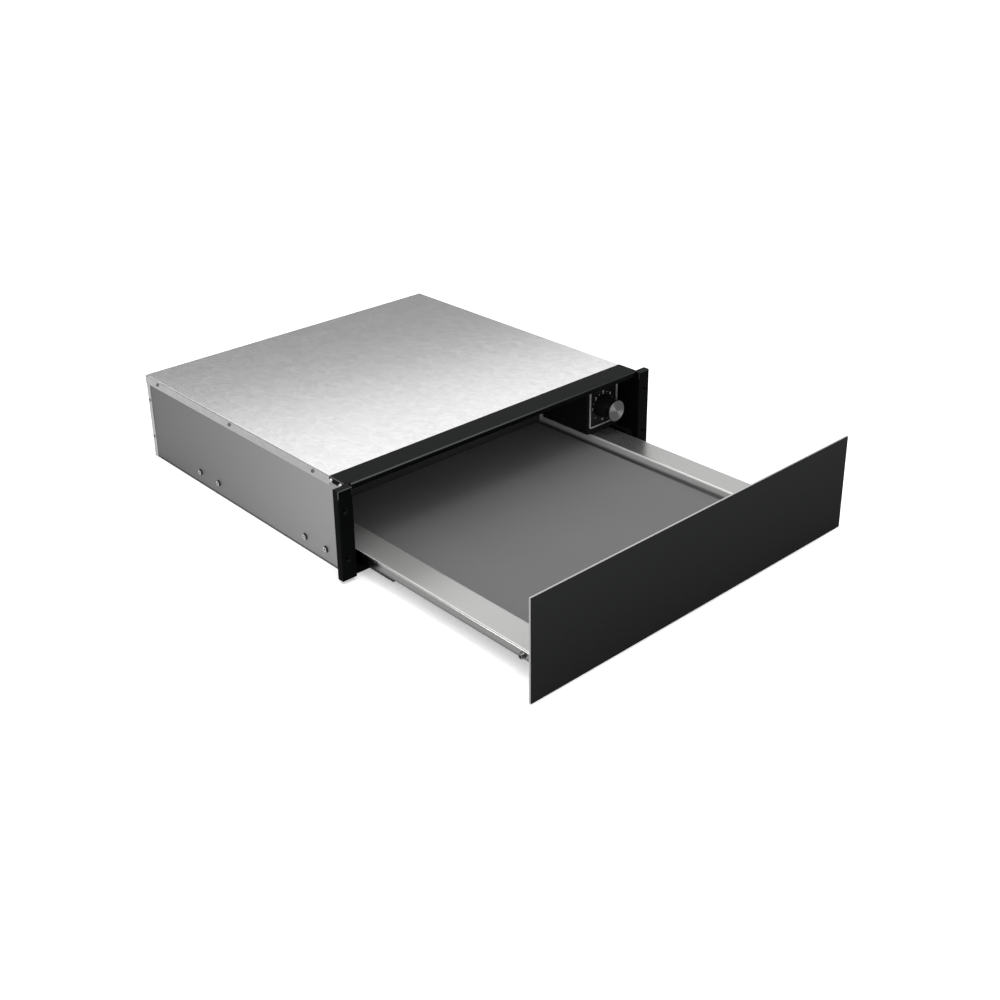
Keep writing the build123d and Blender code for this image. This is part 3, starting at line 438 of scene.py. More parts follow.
def frame_coat(name, colour, top, edge, highlight_from):
    """Dull black coat with a fine orange peel, painted sheen on its upward faces, and painted highlights on
    the folds above a height, strongest towards the left.
    """
    finish = Finish(name, {"Specular IOR Level": 0.006})
    peel = finish.noise(finish.place, scale=900.0, detail=2.0)
    cloud = finish.noise(finish.place, scale=12.0, detail=4.0)
    # Painted highlight on the folds above a height, strongest on the left and fading towards the right.
    faint_highlight_x, full_highlight_x, fade = 200.0 * MM, -50.0 * MM, 4.0 * MM
    highlight_share = finish.spread(finish.ramp(finish.along(finish.place, "X"), faint_highlight_x, full_highlight_x), 0.3, 1.0)
    fold_highlight = finish.ramp(finish.along(finish.place, "Z"), highlight_from, highlight_from + fade) * highlight_share
    upward = finish.along(finish.squareness(), "Z")
    # Painted sheen: the upward faces take the lighter top colour.
    coat = finish.mix(upward, finish.tint(colour, 0.88, 1.14, cloud), finish.tint(top, 0.88, 1.12, cloud))
    return finish.paint(
        finish.mix(finish.bends() ** 2.0 * fold_highlight, coat, finish.tint(edge, 0.7, 1.2, peel)),
        finish.spread(cloud * 0.6 + peel * 0.4, 0.32, 0.44),
        relief=peel,
        depth=0.05 * MM,
        reach=0.25,
    )


def tray_steel(name, colour, floor, rim, back):
    """Brushed tray steel: painted highlights on the long bends, painted light on the upright walls,
    smoother and more metallic skirts and right flange darkened by painted shade, and painted shade in the
    fold round the mat and on the back.
    """
    finish = Finish(name)
    fine = finish.noise(finish.stretched((1700.0, 12.0, 1700.0)), detail=2.0, roughness=0.7)
    cloud = finish.noise(finish.place, scale=6.0, detail=4.0)
    lines = fine * 0.7 + cloud * 0.3
    height = finish.along(finish.place, "Z")
    aside = finish.along(finish.place, "X")
    shade_end, unshaded_from = floor + 2.0 * MM, floor + 7.0 * MM
    back_end, front_start = back - 2.0 * MM, back - 5.0 * MM
    inside, outside = rim - 1.6 * MM, rim - 0.8 * MM
    satin_end, buff_start = 150.0 * MM, 220.0 * MM
    # Painted shade in the fold round the mat and on the tray's back.
    clear_of_fold_shade = finish.ramp(height, shade_end, unshaded_from)
    clear_of_back_shade = finish.ramp(finish.along(finish.place, "Y"), back_end, front_start)
    skirt = finish.ramp(aside * aside, inside ** 2.0, outside ** 2.0)
    square = finish.squareness()
    upright, level = finish.along(square, "X"), finish.along(square, "Z")
    # Painted light: the upright walls take a much lighter copy of the steel.
    wall_painted_light = finish.ramp(upright, FACING_FROM, FACING_TO) * (1.0 - skirt)
    # Painted shade on the right flange, which is also smoother and more metallic.
    on_the_right = finish.ramp(aside, satin_end, buff_start)
    buffed_and_shaded = on_the_right * finish.ramp(level, FACING_FROM, FACING_TO) * (1.0 - skirt)
    satin = finish.mix(wall_painted_light, finish.tint(colour, 1.05, 1.21, lines), finish.tint(colour, 1.62, 1.78, lines))
    flat = finish.mix(buffed_and_shaded, satin, finish.tint(colour, 0.82, 0.92, lines))
    # Painted shade: the skirts take a darker copy of the steel.
    body = finish.mix(skirt, flat, finish.tint(colour, 0.46, 0.54, lines))
    # Painted highlights: the long bends turn nearly white.
    long_bends = (upright * level * 4.0) ** 2.0
    bend_highlight_colour = (0.95, 0.95, 0.94, 1.0)
    with_bend_highlights = finish.mix(long_bends * 0.9, body, bend_highlight_colour)
    return finish.paint(
        # Painted shade: a dark copy of the steel in the fold and on the back.
        finish.mix(clear_of_fold_shade * clear_of_back_shade, finish.tint(colour, 0.16, 0.24, lines), with_bend_highlights),
        finish.spread(lines, 0.32, 0.44) - skirt * 0.18 - buffed_and_shaded * 0.1,
        relief=fine,
        depth=0.02 * MM,
        reach=0.2,
        metal=finish.spread(skirt + buffed_and_shaded * 0.65, 0.52, 1.0),
    )


def brushed_steel(name, colour, grain, rough):
    """Brushed steel: fine lines, so many per metre along X, Y and Z, with a soft drift of tone."""
    finish = Finish(name, {"Metallic": 1.0})
    fine = finish.noise(finish.stretched(grain), detail=2.0, roughness=0.7)
    breadth = 0.22
    broad = finish.noise(finish.stretched([count * breadth for count in grain]), detail=2.0)
    cloud = finish.noise(finish.place, scale=6.0, detail=4.0)
    lines = fine * 0.6 + broad * 0.4
    return finish.paint(
        finish.tint(colour, 0.90, 1.08, lines * 0.7 + cloud * 0.3),
        finish.spread(lines * 0.6 + cloud * 0.4, rough - 0.07, rough + 0.07),
        relief=lines,
        depth=0.02 * MM,
        reach=0.22,
    )


def highlighted_screw(name, face, flank):
    """Screw with a painted highlight on its flat face and painted shade on its conical sides."""
    finish = Finish(name, {"Metallic": 1.0})
    scuffs = finish.noise(finish.place, scale=700.0, detail=3.0)
    face_end, flank_start = 0.01, 0.2
    # Painted shade on the conical sides, painted highlight on the flat face.
    flank_shade = finish.ramp(finish.bends(), face_end, flank_start)
    return finish.paint(
        finish.mix(flank_shade, finish.tint(face, 0.85, 1.1, scuffs), finish.tint(flank, 0.1, 0.3, scuffs)),
        finish.spread(scuffs, 0.18, 0.3),
        relief=scuffs,
        depth=0.02 * MM,
    )


def coated_plate(name, bare, coated):
    """Brushed plate with bare long edges and ends darkened by painted shade."""
    finish = Finish(name, {"Metallic": 1.0})
    lines = finish.noise(finish.stretched((14.0, 900.0, 1500.0)), detail=2.0, roughness=0.7)
    # Painted shade on the ends, which face sideways.
    ends = finish.along(finish.squareness(), "X")
    return finish.paint(
        finish.mix(ends, finish.tint(bare, 0.92, 1.06, lines), finish.tint(coated, 0.9, 1.1, lines)),
        finish.spread(lines, 0.36, 0.5),
        relief=lines,
        depth=0.02 * MM,
        reach=0.2,
    )


def matt_coating(name, colour):
    """Matt black coating of the front: very fine grain, a faint drift in its tone and sheen, and painted
    shade that darkens it towards the bottom.
    """
    finish = Finish(name, {"Specular IOR Level": 0.004})
    grain = finish.noise(finish.place, scale=2600.0, detail=1.0)
    drift = finish.noise(finish.stretched((2.2, 2.2, 5.0)), detail=3.0)
    # Painted shade: the coating darkens towards the bottom.
    rise = finish.ramp(finish.along(finish.place, "Z"), cad_box[0].z, cad_box[1].z)
    return finish.paint(
        finish.tint(colour, 0.62, 1.18, rise * 0.7 + drift * 0.2 + grain * 0.1),
        finish.spread(drift * 0.5 + grain * 0.5, 0.44, 0.56),
        relief=grain,
        depth=0.02 * MM,
        reach=0.2,
    )


def dimpled_silicone(name, colour):
    """Matt silicone with a close dimpled grain."""
    finish = Finish(name, {"Specular IOR Level": 0.35})
    grid = {"Vector": finish.place, "Scale": 620.0, "Randomness": 0.25}
    dimples = finish.node("ShaderNodeTexVoronoi", {}, grid, output="Distance")
    cloud = finish.noise(finish.place, scale=8.0, detail=5.0)
    dust = finish.noise(finish.place, scale=420.0, detail=2.0)
    return finish.paint(
        finish.tint(colour, 0.90, 1.10, cloud * 0.6 + dust * 0.4),
        finish.spread(cloud, 0.72, 0.84),
        relief=dimples,
        depth=0.12 * MM,
        reach=0.25,
    )


def moulded_plastic(name, colour, rough, gloss=0.4):
    """Moulded plastic with a spark-eroded grain."""
    finish = Finish(name, {"Specular IOR Level": gloss})
    grain = finish.cells(finish.place, scale=2200.0)
    cloud = finish.noise(finish.place, scale=25.0, detail=3.0)
    return finish.paint(
        finish.tint(colour, 0.90, 1.12, cloud * 0.7 + grain * 0.3),
        finish.spread(grain * 0.5 + cloud * 0.5, rough - 0.07, rough + 0.07),
        relief=finish.noise(finish.place, scale=1800.0, detail=2.0),
        depth=0.04 * MM,
        reach=0.3,
    )


def satin_face(name, colour):
    """Smooth satin face with a trace of dust and wiping marks."""
    finish = Finish(name, {"Specular IOR Level": 0.08})
    wiped = finish.noise(finish.stretched((60.0, 60.0, 14.0), (0.0, 0.5, 0.0)), detail=4.0)
    return finish.paint(
        finish.tint(colour, 0.85, 1.25, wiped),
        finish.spread(wiped, 0.34, 0.46),
        relief=wiped,
        depth=0.01 * MM,
    )


def printed_ink(name, colour):
    """Screen-printed ink, a little uneven."""
    finish = Finish(name)
    screen = finish.noise(finish.place, scale=1500.0, detail=1.0)
    return finish.paint(
        finish.tint(colour, 0.86, 1.06, screen),
        finish.spread(screen, 0.45, 0.6),
        relief=screen,
        depth=0.02 * MM,
    )


def silver_paint(name, colour):
    """Silver paint with a fine metal flake."""
    finish = Finish(name, {"Metallic": 0.25})
    flake = finish.cells(finish.place, scale=3500.0)
    return finish.paint(
        finish.tint(colour, 0.85, 1.1, flake),
        finish.spread(flake, 0.34, 0.46),
        relief=flake,
        depth=0.01 * MM,
    )


def spun_metal(name, colour, axis):
    """Metal turned on a lathe: fine rings about the axis, which runs along Y, and a painted highlight in
    two opposite wedges of the face.
    """
    finish = Finish(name, {"Metallic": 1.0})
    shift = {"Vector": finish.place, "Location": (-axis.x, 0.0, -axis.z)}
    centred = finish.node("ShaderNodeMapping", {}, shift)
    flat = finish.node("ShaderNodeVectorMath", {"operation": "MULTIPLY"}, {0: centred, 1: (1.0, 0.0, 1.0)})
    radius = finish.node("ShaderNodeVectorMath", {"operation": "LENGTH"}, {0: flat}, output="Value")
    rings, bands = (
        finish.node("ShaderNodeTexNoise", {"noise_dimensions": "1D"}, {"W": radius, "Scale": scale})
        for scale in (4200.0, 700.0)
    )
    lines = rings * 0.6 + bands * 0.4
    across, up = finish.along(flat, "X"), finish.along(flat, "Z")
    turn = finish.node("ShaderNodeMath", {"operation": "ARCTAN2"}, {0: up, 1: across})
    # A painted highlight lies in two opposite wedges of the face, turned by half this angle.
    wedges, sharpness = math.radians(72.0), 6.0
    wave = finish.node("ShaderNodeMath", {"operation": "COSINE"}, {0: turn * 2.0 + wedges})
    sheen = (wave * 0.5 + 0.5) ** sharpness
    return finish.paint(
        finish.mix(sheen, finish.tint(colour, 0.70, 0.95, lines), finish.tint(colour, 2.0, 2.9, lines)),
        finish.spread(lines, 0.22, 0.36),
        relief=lines,
        depth=0.05 * MM,
        reach=0.55,
    )


def tinted_tube(name, colour):
    """Steel tube with straw and blue heat tints in patches."""
    finish = Finish(name, {"Metallic": 1.0})
    patches = finish.noise(finish.place, scale=45.0, detail=4.0)
    scale = finish.noise(finish.place, scale=900.0, detail=2.0)
    straw = finish.tint(colour, 0.7, 1.5, patches)
    blue = (0.10, 0.11, 0.16, 1.0)
    return finish.paint(
        finish.mix(patches ** 3.0, straw, blue),
        finish.spread(scale, 0.3, 0.5),
        relief=scale,
        depth=0.03 * MM,
    )


def braided_sleeve(name, colour):
    """Braided sleeve: two crossing sets of strands."""
    finish = Finish(name)
    strands = [
        finish.node(
            "ShaderNodeTexWave",
            {"wave_type": "BANDS", "bands_direction": "DIAGONAL"},
            {"Vector": finish.stretched((260.0, side * 260.0, 260.0)), "Scale": 1.0, "Distortion": 0.6},
            output="Fac",
        )
        for side in (-1.0, 1.0)
    ]
    weave = strands[0] * strands[1]
    return finish.paint(
        finish.tint(colour, 0.6, 1.8, weave),
        finish.spread(weave, 0.75, 0.6),
        relief=weave,
        depth=0.3 * MM,
    )


def dress(material, *names):
    """Give a material to nodes of the frame."""
    for name in names:
        for slot in frame["nodes"][name].material_slots:
            slot.material = material


def both_sides(*names):
    """The left and the right node of each name."""
    return [f"{side}_{name}" for name in names for side in ("left", "right")]


def make_piece(name, shape, material, body):
    """Turn a finished bmesh into a piece that rides on a body."""
    mesh = bpy.data.meshes.new(name)
    shape.to_mesh(mesh)
    shape.free()
    mesh.materials.append(material)
    piece = bpy.data.objects.new(name, mesh)
    bpy.context.scene.collection.objects.link(piece)
    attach(piece, body)
    return piece


def finish_colours():
    """The finish settings of the scene."""
    return bpy.context.scene.drawer_finish


def lathe(profile, axis, steps=96):
    """Spin a profile of (radius, depth) points round an axis along Y."""
    shape = bmesh.new()
    points = [shape.verts.new((axis.x + radius, depth, axis.z)) for radius, depth in profile]
    edges = [shape.edges.new(pair) for pair in zip(points, points[1:])]
    bmesh.ops.spin(
        shape,
        geom=points + edges,
        cent=axis,
        axis=DEPTHWISE,
        dvec=(0.0, 0.0, 0.0),
        angle=2 * math.pi,
        steps=steps,
        use_merge=True,
    )
    bmesh.ops.remove_doubles(shape, verts=shape.verts, dist=WELD)
    bmesh.ops.recalc_face_normals(shape, faces=shape.faces)
    return shape


def stood_up(place):
    """The place of a flat shape that stands upright and looks to the front."""
    return Matrix.Translation(place) @ Matrix.Rotation(math.pi / 2, 4, "X")


def add_text(shape, words, height, place):
    """Add flat numbers to a bmesh, slightly bold, set upright at a place."""
    boldness = 0.02
    curve = bpy.data.curves.new("lettering", "FONT")
    curve.body = words
    curve.align_x = "CENTER"
    curve.align_y = "CENTER"
    curve.size = height
    curve.offset = boldness * height
    writer = bpy.data.objects.new("lettering", curve)
    mesh = bpy.data.meshes.new_from_object(writer)
    mesh.transform(stood_up(place))
    shape.from_mesh(mesh)
    bpy.data.objects.remove(writer)
    bpy.data.curves.remove(curve)
    bpy.data.meshes.remove(mesh)


def thicken(shape, height):
    """Give a flat shape a thickness towards the front."""
    bmesh.ops.remove_doubles(shape, verts=shape.verts, dist=PRINT_WELD)
    raised = bmesh.ops.extrude_face_region(shape, geom=shape.faces[:])["geom"]
    corners = [part for part in raised if isinstance(part, bmesh.types.BMVert)]
    bmesh.ops.translate(shape, verts=corners, vec=(0.0, -height, 0.0))
    bmesh.ops.recalc_face_normals(shape, faces=shape.faces)


class DRAWER_OT_casing(bpy.types.Operator):
    """Finish the casing's sheets"""

    bl_idname = "drawer.casing"
    bl_label = "Casing"

    def execute(self, context):
        colours = finish_colours()
        zinc = spangled_zinc("spangled_zinc", colours.zinc)
        dress(zinc, "top_cover", "rear_panel", "base_plate", "rear_baffle")
        dress(plain_zinc("plain_zinc", colours.side_zinc), *both_sides("side_panel"))
        return {"FINISHED"}


class DRAWER_OT_front_frame(bpy.types.Operator):
    """Finish the dark frame around the drawer's mouth"""

    bl_idname = "drawer.front_frame"
    bl_label = "Front frame"

    def execute(self, context):
        colours = finish_colours()
        # The painted highlight on the folds starts this far below the top rail's top.
        highlight_drop = 14.0 * MM
        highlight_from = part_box("frame_top_rail")[1].z - highlight_drop
        black, top, edge = colours.frame_black, colours.frame_top_sheen, colours.frame_fold_highlight
        coat = frame_coat("frame_coat", black, top, edge, highlight_from)
        dress(coat, "frame_top_rail", "frame_bottom_rail")
        dress(coat, *both_sides("frame_post", "frame_cheek", "runner_bracket"))
        return {"FINISHED"}


class DRAWER_OT_runners(bpy.types.Operator):
    """Finish the telescopic runners and the brackets"""

    bl_idname = "drawer.runners"
    bl_label = "Runners"

    def execute(self, context):
        colours = finish_colours()
        zinc = brushed_steel("runner_zinc", colours.runner_zinc, RAIL_GRAIN, rough=0.30)
        rails = both_sides("outer_rail", "inner_rail", "lower_ball_cage", "upper_ball_cage")
        dress(zinc, *rails, *both_sides("front_bracket"), "fan_bracket", "catch_plate")
        # Painted shade: the middle rails take a near-black zinc.
        dark = brushed_steel("runner_shaded", colours.runner_shaded, RAIL_GRAIN, rough=0.32)
        dress(dark, *both_sides("middle_rail"))
        return {"FINISHED"}


class DRAWER_OT_tray(bpy.types.Operator):
    """Finish the tray, its mat and the front's inner panel"""

    bl_idname = "drawer.tray"
    bl_label = "Tray"

    def execute(self, context):
        colours = finish_colours()
        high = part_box("tray")[1]
        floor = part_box("anti_slip_mat")[0].z
        dress(tray_steel("tray_steel", colours.stainless, floor, high.x, high.y), "tray")
        dress(brushed_steel("liner_steel", colours.stainless, LINER_GRAIN, rough=0.28), "front_inner_panel")
        dress(dimpled_silicone("mat_silicone", colours.mat_grey), "anti_slip_mat")
        return {"FINISHED"}


class DRAWER_OT_front(bpy.types.Operator):
    """Finish the drawer's front plate and its matt skin"""

    bl_idname = "drawer.front"
    bl_label = "Front"

    def execute(self, context):
        colours = finish_colours()
        dress(coated_plate("plate_edge", colours.plate_edge, colours.plate_end_shade), "front_panel")
        dress(matt_coating("front_coating", colours.front_black), "front_skin")
        return {"FINISHED"}


class DRAWER_OT_control(bpy.types.Operator):
    """Finish the control and print its dial"""

    bl_idname = "drawer.control"
    bl_label = "Control"

    def execute(self, context):
        colours = finish_colours()
        dial = context.scene.drawer_dial
        black = moulded_plastic("housing_plastic", colours.plastic_black, rough=0.42, gloss=0.04)
        dress(black, "control_housing")
        dress(satin_face("control_satin", colours.dial_black), "control_plate")
        dress(moulded_plastic("thermostat_plastic", colours.pale_plastic, rough=0.5), "thermostat")
        ink = printed_ink("dial_ink", colours.dial_white)
        low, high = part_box("control_plate")
        digits = bmesh.new()
        dots = bmesh.new()
        for words, degrees in DIAL_NUMBERS.items():
            add_text(digits, words, dial.digit_height, self.mark(dial, degrees, low.y))
        for degrees in DIAL_DOTS:
            spot = stood_up(self.mark(dial, degrees, low.y))
            bmesh.ops.create_circle(dots, cap_ends=True, segments=20, radius=dial.dot_radius, matrix=spot)
        for shape, name in ((digits, "dial_numbers"), (dots, "dial_dots")):
            thicken(shape, dial.print_height)
            make_piece(name, shape, ink, "casing")
        self.bezel(dial, silver_paint("bezel_silver", colours.trim_metal), low, high)
        return {"FINISHED"}

    def mark(self, dial, degrees, face):
        """The place of a mark on the dial's ring."""
        turn = math.radians(degrees)
        place = DIAL_AXIS + dial.ring_radius * Vector((math.cos(turn), 0.0, math.sin(turn)))
        return Vector((place.x, face, place.z))

    def bezel(self, dial, silver, low, high):
        """Set the silver bezel around the control plate."""
        corner_radius = 2.0 * MM
        shape = bmesh.new()
        corners = [
            shape.verts.new((x, low.y, z))
            for x, z in ((low.x, low.z), (high.x, low.z), (high.x, high.z), (low.x, high.z))
        ]
        shape.faces.new(corners)
        bmesh.ops.bevel(
            shape,
            geom=corners,
            offset=corner_radius,
            affect="VERTICES",
            segments=6,
            profile=0.5,
            material=-1,
        )
        middle = shape.faces[:]
        bmesh.ops.inset_region(
            shape, faces=middle, thickness=dial.bezel_width, use_boundary=True, use_even_offset=True
        )
        bmesh.ops.delete(shape, geom=middle, context="FACES")
        thicken(shape, dial.bezel_height)
        make_piece("dial_bezel", shape, silver, "casing")


class DRAWER_OT_knob(bpy.types.Operator):
    """Turn the knob's face and set its pointer"""

    bl_idname = "drawer.knob"
    bl_label = "Knob"

    def execute(self, context):
        colours = finish_colours()
        dial = context.scene.drawer_dial
        low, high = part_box("knob_cap")
        radius = (high.x - low.x) / 2
        rim = dial.rim_width
        face = low.y
        # Outwards from the middle: the turned rings, a flat rim, its round edge, the side and the back.
        grooved = radius - 1.3 * rim
        rings = round(grooved / (dial.groove_pitch / 2))
        step, depth = grooved / rings, dial.groove_depth
        profile = [(ring * step, face + depth * ((rings - ring) % 2)) for ring in range(rings + 1)]
        profile += (
            (radius - 0.5 * rim, face),
            (radius - 0.15 * rim, face + 0.15 * rim),
            (radius, face + 0.5 * rim),
            (radius, high.y - 0.4 * rim),
            (radius - 0.3 * rim, high.y),
            (0.0, high.y),
        )
        metal = spun_metal("knob_metal", colours.knob_metal, DIAL_AXIS)
        turned = lathe(profile, DIAL_AXIS)
        for side in turned.faces:
            side.smooth = True
        cap = make_piece("knob_face", turned, metal, "knob")
        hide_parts("knob_cap")
        dress(moulded_plastic("knob_plastic", colours.plastic_black, rough=0.38, gloss=0.06), "knob_body")
        steel = brushed_steel("spindle_steel", colours.screw_zinc, SPINDLE_GRAIN, rough=0.3)
        dress(steel, "control_spindle")
        self.pointer(dial, radius, printed_ink("pointer_ink", colours.dial_white))
        return {"FINISHED"}

    def pointer(self, dial, radius, ink):
        """Set a small raised line on the knob's side, which points to 0 at rest."""
        stand_off, thickness, rounding, share_of_depth = 0.2 * MM, 1.2 * MM, 0.25 * MM, 0.86
        low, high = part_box("knob_body")
        middle = (low.y + high.y) / 2
        place = Matrix.Translation((DIAL_AXIS.x, middle, DIAL_AXIS.z - radius - stand_off))
        size = Matrix.Diagonal((dial.pointer_width, (high.y - low.y) * share_of_depth, thickness, 1.0))
        shape = bmesh.new()
        bmesh.ops.create_cube(shape, size=1.0, matrix=place @ size)
        bmesh.ops.bevel(
            shape,
            geom=shape.edges[:],
            offset=rounding,
            affect="EDGES",
            segments=3,
            profile=0.5,
            material=-1,
        )
        make_piece("knob_pointer", shape, ink, "knob")


class DRAWER_OT_warm_air(bpy.types.Operator):
    """Finish the fan, its motor and the heater"""

    bl_idname = "drawer.warm_air"
    bl_label = "Warm air"

    def execute(self, context):
        colours = finish_colours()
        dress(powder_coat("motor_lacquer", colours.motor_grey, rough=0.4), "fan_motor")
        dress(brushed_steel("fan_alloy", colours.plate_edge, FAN_GRAIN, rough=0.36), "fan_impeller")
        dress(tinted_tube("heater_tube", colours.heater_steel), "heater_element")
        dress(moulded_plastic("cutout_plastic", colours.plastic_black, rough=0.5), "thermal_cutout")
        return {"FINISHED"}


class DRAWER_OT_wiring(bpy.types.Operator):
    """Finish the mains terminal, the gland and the wiring"""

    bl_idname = "drawer.wiring"
    bl_label = "Wiring"

    def execute(self, context):
        colours = finish_colours()
        dress(moulded_plastic("terminal_plastic", colours.pale_plastic, rough=0.45), "terminal_block")
        black = moulded_plastic("gland_plastic", colours.plastic_black, rough=0.48)
        dress(black, "cable_gland", "loom_clips")
        dress(braided_sleeve("loom_sleeve", colours.sleeve_black), "wiring_loom")
        return {"FINISHED"}


class DRAWER_OT_latch(bpy.types.Operator):
    """Finish the push latch and wind its spring"""

    bl_idname = "drawer.latch"
    bl_label = "Latch"

    def execute(self, context):
        colours = finish_colours()
        dress(moulded_plastic("latch_plastic", colours.plastic_black, rough=0.5), "latch_housing")
        dress(moulded_plastic("plunger_plastic", colours.pale_plastic, rough=0.4), "latch_plunger")
        steel = brushed_steel("spring_steel", colours.screw_zinc, SPRING_GRAIN, rough=0.28)
        self.coil(context.scene.drawer_latch, steel)
        return {"FINISHED"}

    def coil(self, latch, steel):
        """Wind the spring over the length of the latch's spring part."""
        low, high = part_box("latch_spring")
        middle = (low + high) / 2
        wire = latch.wire_radius
        length = high.y - low.y
        steps = latch.turns * latch.turn_steps
        start = Matrix.Translation((high.x - wire, low.y + wire, middle.z))
        shape = bmesh.new()
        bmesh.ops.create_circle(shape, segments=10, radius=wire, matrix=start)
        bmesh.ops.spin(
            shape,
            geom=shape.verts[:] + shape.edges[:],
            cent=middle,
            axis=DEPTHWISE,
            dvec=(0.0, (length - 2 * wire) / steps, 0.0),
            angle=2 * math.pi * latch.turns,
            steps=steps,
        )
        bmesh.ops.holes_fill(shape, edges=[edge for edge in shape.edges if edge.is_boundary])
        bmesh.ops.recalc_face_normals(shape, faces=shape.faces)
        spring = make_piece("latch_coil", shape, steel, "casing")
        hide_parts("latch_spring")
        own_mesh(spring)


class DRAWER_OT_fasteners(bpy.types.Operator):
    """Finish the screws, bolts and rivets"""

    bl_idname = "drawer.fasteners"
    bl_label = "Fasteners"

    def execute(self, context):
        colours = finish_colours()
        bright = brushed_steel("screw_zinc", colours.screw_zinc, SCREW_GRAIN, rough=0.22)
        dress(bright, "frame_screws", "fan_shaft")
        dark = brushed_steel("screw_dark", colours.screw_dark, SCREW_GRAIN, rough=0.2)
        dress(dark, "cover_screws", "rear_rivets", "post_rivets")
        dress(highlighted_screw("screw_highlighted", colours.screw_face_highlight, colours.screw_dark), "runner_screws")
        bolts = brushed_steel("bolt_zinc", colours.bolt_zinc, SCREW_GRAIN, rough=0.24)
        dress(bolts, "front_bolts", "front_nuts")
        return {"FINISHED"}


def softbox(name, place, target, width, height, power, roll=0.0):
    """A soft rectangular lamp that faces a target."""
    lamp = bpy.data.lights.new(name, "AREA")
    lamp.shape = "RECTANGLE"
    lamp.size = width
    lamp.size_y = height
    lamp.energy = power
    stand = bpy.data.objects.new(name, lamp)
    stand.location = place
    aim = (Vector(target) - Vector(place)).to_track_quat("-Z", "Y").to_matrix()
    stand.rotation_euler = (aim @ Matrix.Rotation(roll, 3, "Z")).to_euler()
    bpy.context.scene.collection.objects.link(stand)


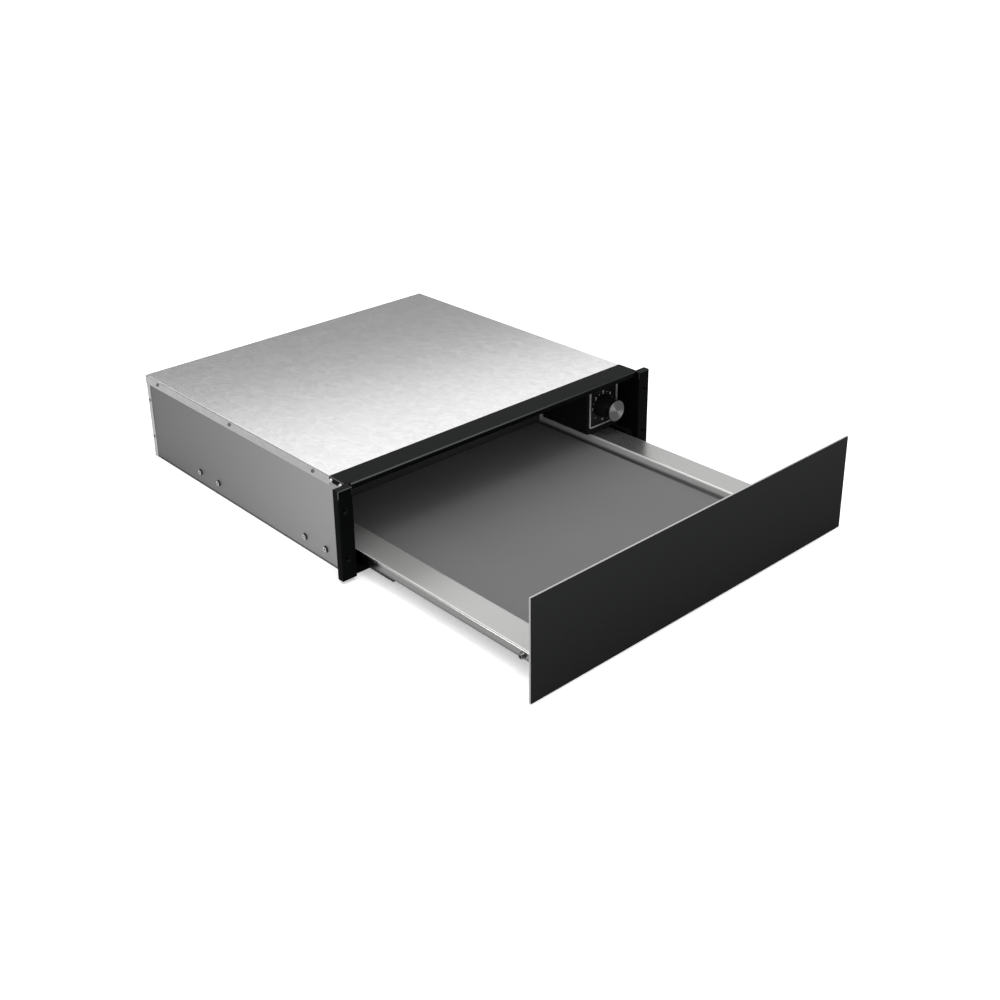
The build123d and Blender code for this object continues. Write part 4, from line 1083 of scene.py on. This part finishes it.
class DRAWER_OT_stage(bpy.types.Operator):
    """Set the floor, the lamps and the camera"""

    bl_idname = "drawer.stage"
    bl_label = "Studio"

    def execute(self, context):
        scene = context.scene
        studio = scene.drawer_studio
        self.lay_floor(scene, studio)
        self.light_dome(scene, studio)
        softbox(
            "back_softbox",
            place=(0.91, 0.96, 1.165),
            target=(-0.38, -0.58, 1.165),
            width=2.4,
            height=0.9,
            power=studio.back_power,
            roll=math.radians(11.0),
        )
        softbox(
            "key_softbox",
            place=(-0.2, -1.05, 2.2),
            target=(0.0, -0.3, 0.0),
            width=0.6,
            height=0.6,
            power=studio.key_power,
        )
        softbox(
            "rim_softbox",
            place=(-0.1, 1.75, 1.35),
            target=(-0.1, -0.1, 0.1),
            width=0.4,
            height=1.0,
            power=studio.rim_power,
        )
        softbox(
            "side_softbox",
            place=(-0.95, -0.28, 0.07),
            target=(-0.28, -0.18, 0.07),
            width=0.9,
            height=0.12,
            power=studio.side_power,
        )
        scene.view_settings.view_transform = "Standard"
        self.set_camera(scene, studio)
        return {"FINISHED"}

    def light_dome(self, scene, studio):
        """Light the drawer from a dome, bright at its crown, towards the viewer and round its foot."""
        scene.world = bpy.data.worlds.new("light_dome")
        dome = Tree(scene.world)
        direction = dome.node("ShaderNodeTexCoord", output="Generated")
        height = dome.node("ShaderNodeSeparateXYZ", {}, {"Vector": direction}, output="Z")

        def fade(from_angle, to_angle, from_glow, to_glow):
            """A brightness that changes smoothly between two height angles."""
            limits = {
                "Value": height,
                "From Min": math.sin(from_angle),
                "From Max": math.sin(to_angle),
                "To Min": from_glow,
                "To Max": to_glow,
            }
            return dome.node("ShaderNodeMapRange", {"interpolation_type": "SMOOTHSTEP"}, limits)

        crown = fade(studio.dome_foot, studio.dome_crown, studio.dome_low, studio.dome_high)
        towards = {0: direction, 1: HEADING * -studio.dome_front}
        front = dome.node("ShaderNodeVectorMath", {"operation": "DOT_PRODUCT"}, towards, output="Value")
        hem = fade(studio.hem_low, studio.hem_high, studio.dome_hem, 0.0)
        strength = crown + front.or_more(hem)
        background = dome.tree.nodes["Background"]
        background.inputs["Color"].default_value = (1.0, 1.0, 1.0, 1.0)
        dome.feed(background.inputs["Strength"], strength)

    def lay_floor(self, scene, studio):
        """Lay a wide pale floor under the drawer."""
        shape = bmesh.new()
        under = Matrix.Translation((0.0, 0.0, cad_box[0].z - FLOOR_DROP))
        bmesh.ops.create_grid(shape, x_segments=1, y_segments=1, size=FLOOR_REACH, matrix=under)
        mesh = bpy.data.meshes.new("studio_floor")
        shape.to_mesh(mesh)
        shape.free()
        finish = Finish(
            "floor_paint",
            {
                "Roughness": 0.9,
                "Specular IOR Level": 0.1,
                "Emission Color": (1.0, 1.0, 1.0, 1.0),
                "Emission Strength": studio.floor_glow,
            },
        )
        drift = finish.noise(finish.place, scale=0.6, detail=2.0)
        mesh.materials.append(finish.paint(finish.tint(studio.floor_colour, 0.99, 1.01, drift)))
        floor = bpy.data.objects.new("studio_floor", mesh)
        scene.collection.objects.link(floor)

    def set_camera(self, scene, studio):
        """Set the camera, with the turn, tilt and roll of the reference view."""
        lens = bpy.data.cameras.new("view_camera")
        lens.lens = studio.lens
        lens.shift_x = studio.shift_x
        lens.shift_y = studio.shift_y
        camera = bpy.data.objects.new("view_camera", lens)
        turn = Matrix.Rotation(studio.azimuth, 4, "Z")
        tip = Matrix.Rotation(math.pi / 2 - studio.elevation, 4, "X")
        roll = Matrix.Rotation(studio.roll, 4, "Z")
        camera.matrix_world = Matrix.Translation(studio.camera_place) @ turn @ tip @ roll
        scene.collection.objects.link(camera)
        scene.camera = camera


STEPS = (
    DRAWER_OT_casing,
    DRAWER_OT_front_frame,
    DRAWER_OT_runners,
    DRAWER_OT_tray,
    DRAWER_OT_front,
    DRAWER_OT_control,
    DRAWER_OT_knob,
    DRAWER_OT_warm_air,
    DRAWER_OT_wiring,
    DRAWER_OT_latch,
    DRAWER_OT_fasteners,
    DRAWER_OT_stage,
)
GROUPS = {
    "drawer_finish": FinishSettings,
    "drawer_dial": DialSettings,
    "drawer_latch": LatchSettings,
    "drawer_studio": StudioSettings,
}


class DRAWER_PT_looks(bpy.types.Panel):
    """Lists the steps that dress the drawer, and what they use"""

    bl_idname = "DRAWER_PT_looks"
    bl_label = "Warming drawer"
    bl_space_type = "VIEW_3D"
    bl_region_type = "UI"
    bl_category = "Drawer"

    def draw(self, context):
        for step in STEPS:
            self.layout.operator(step.bl_idname)
        for settings in GROUPS:
            group = getattr(context.scene, settings)
            box = self.layout.box()
            for name in group.__annotations__:
                box.prop(group, name)


CLASSES = (*GROUPS.values(), *STEPS, DRAWER_PT_looks)


def register():
    for made in CLASSES:
        bpy.utils.register_class(made)
    for name, group in GROUPS.items():
        setattr(bpy.types.Scene, name, PointerProperty(type=group))


def unregister():
    for name in GROUPS:
        delattr(bpy.types.Scene, name)
    for made in reversed(CLASSES):
        bpy.utils.unregister_class(made)


def main():
    register()
    for step in STEPS:
        family, name = step.bl_idname.split(".")
        getattr(getattr(bpy.ops, family), name)()


if __name__ == "__main__":
    main()
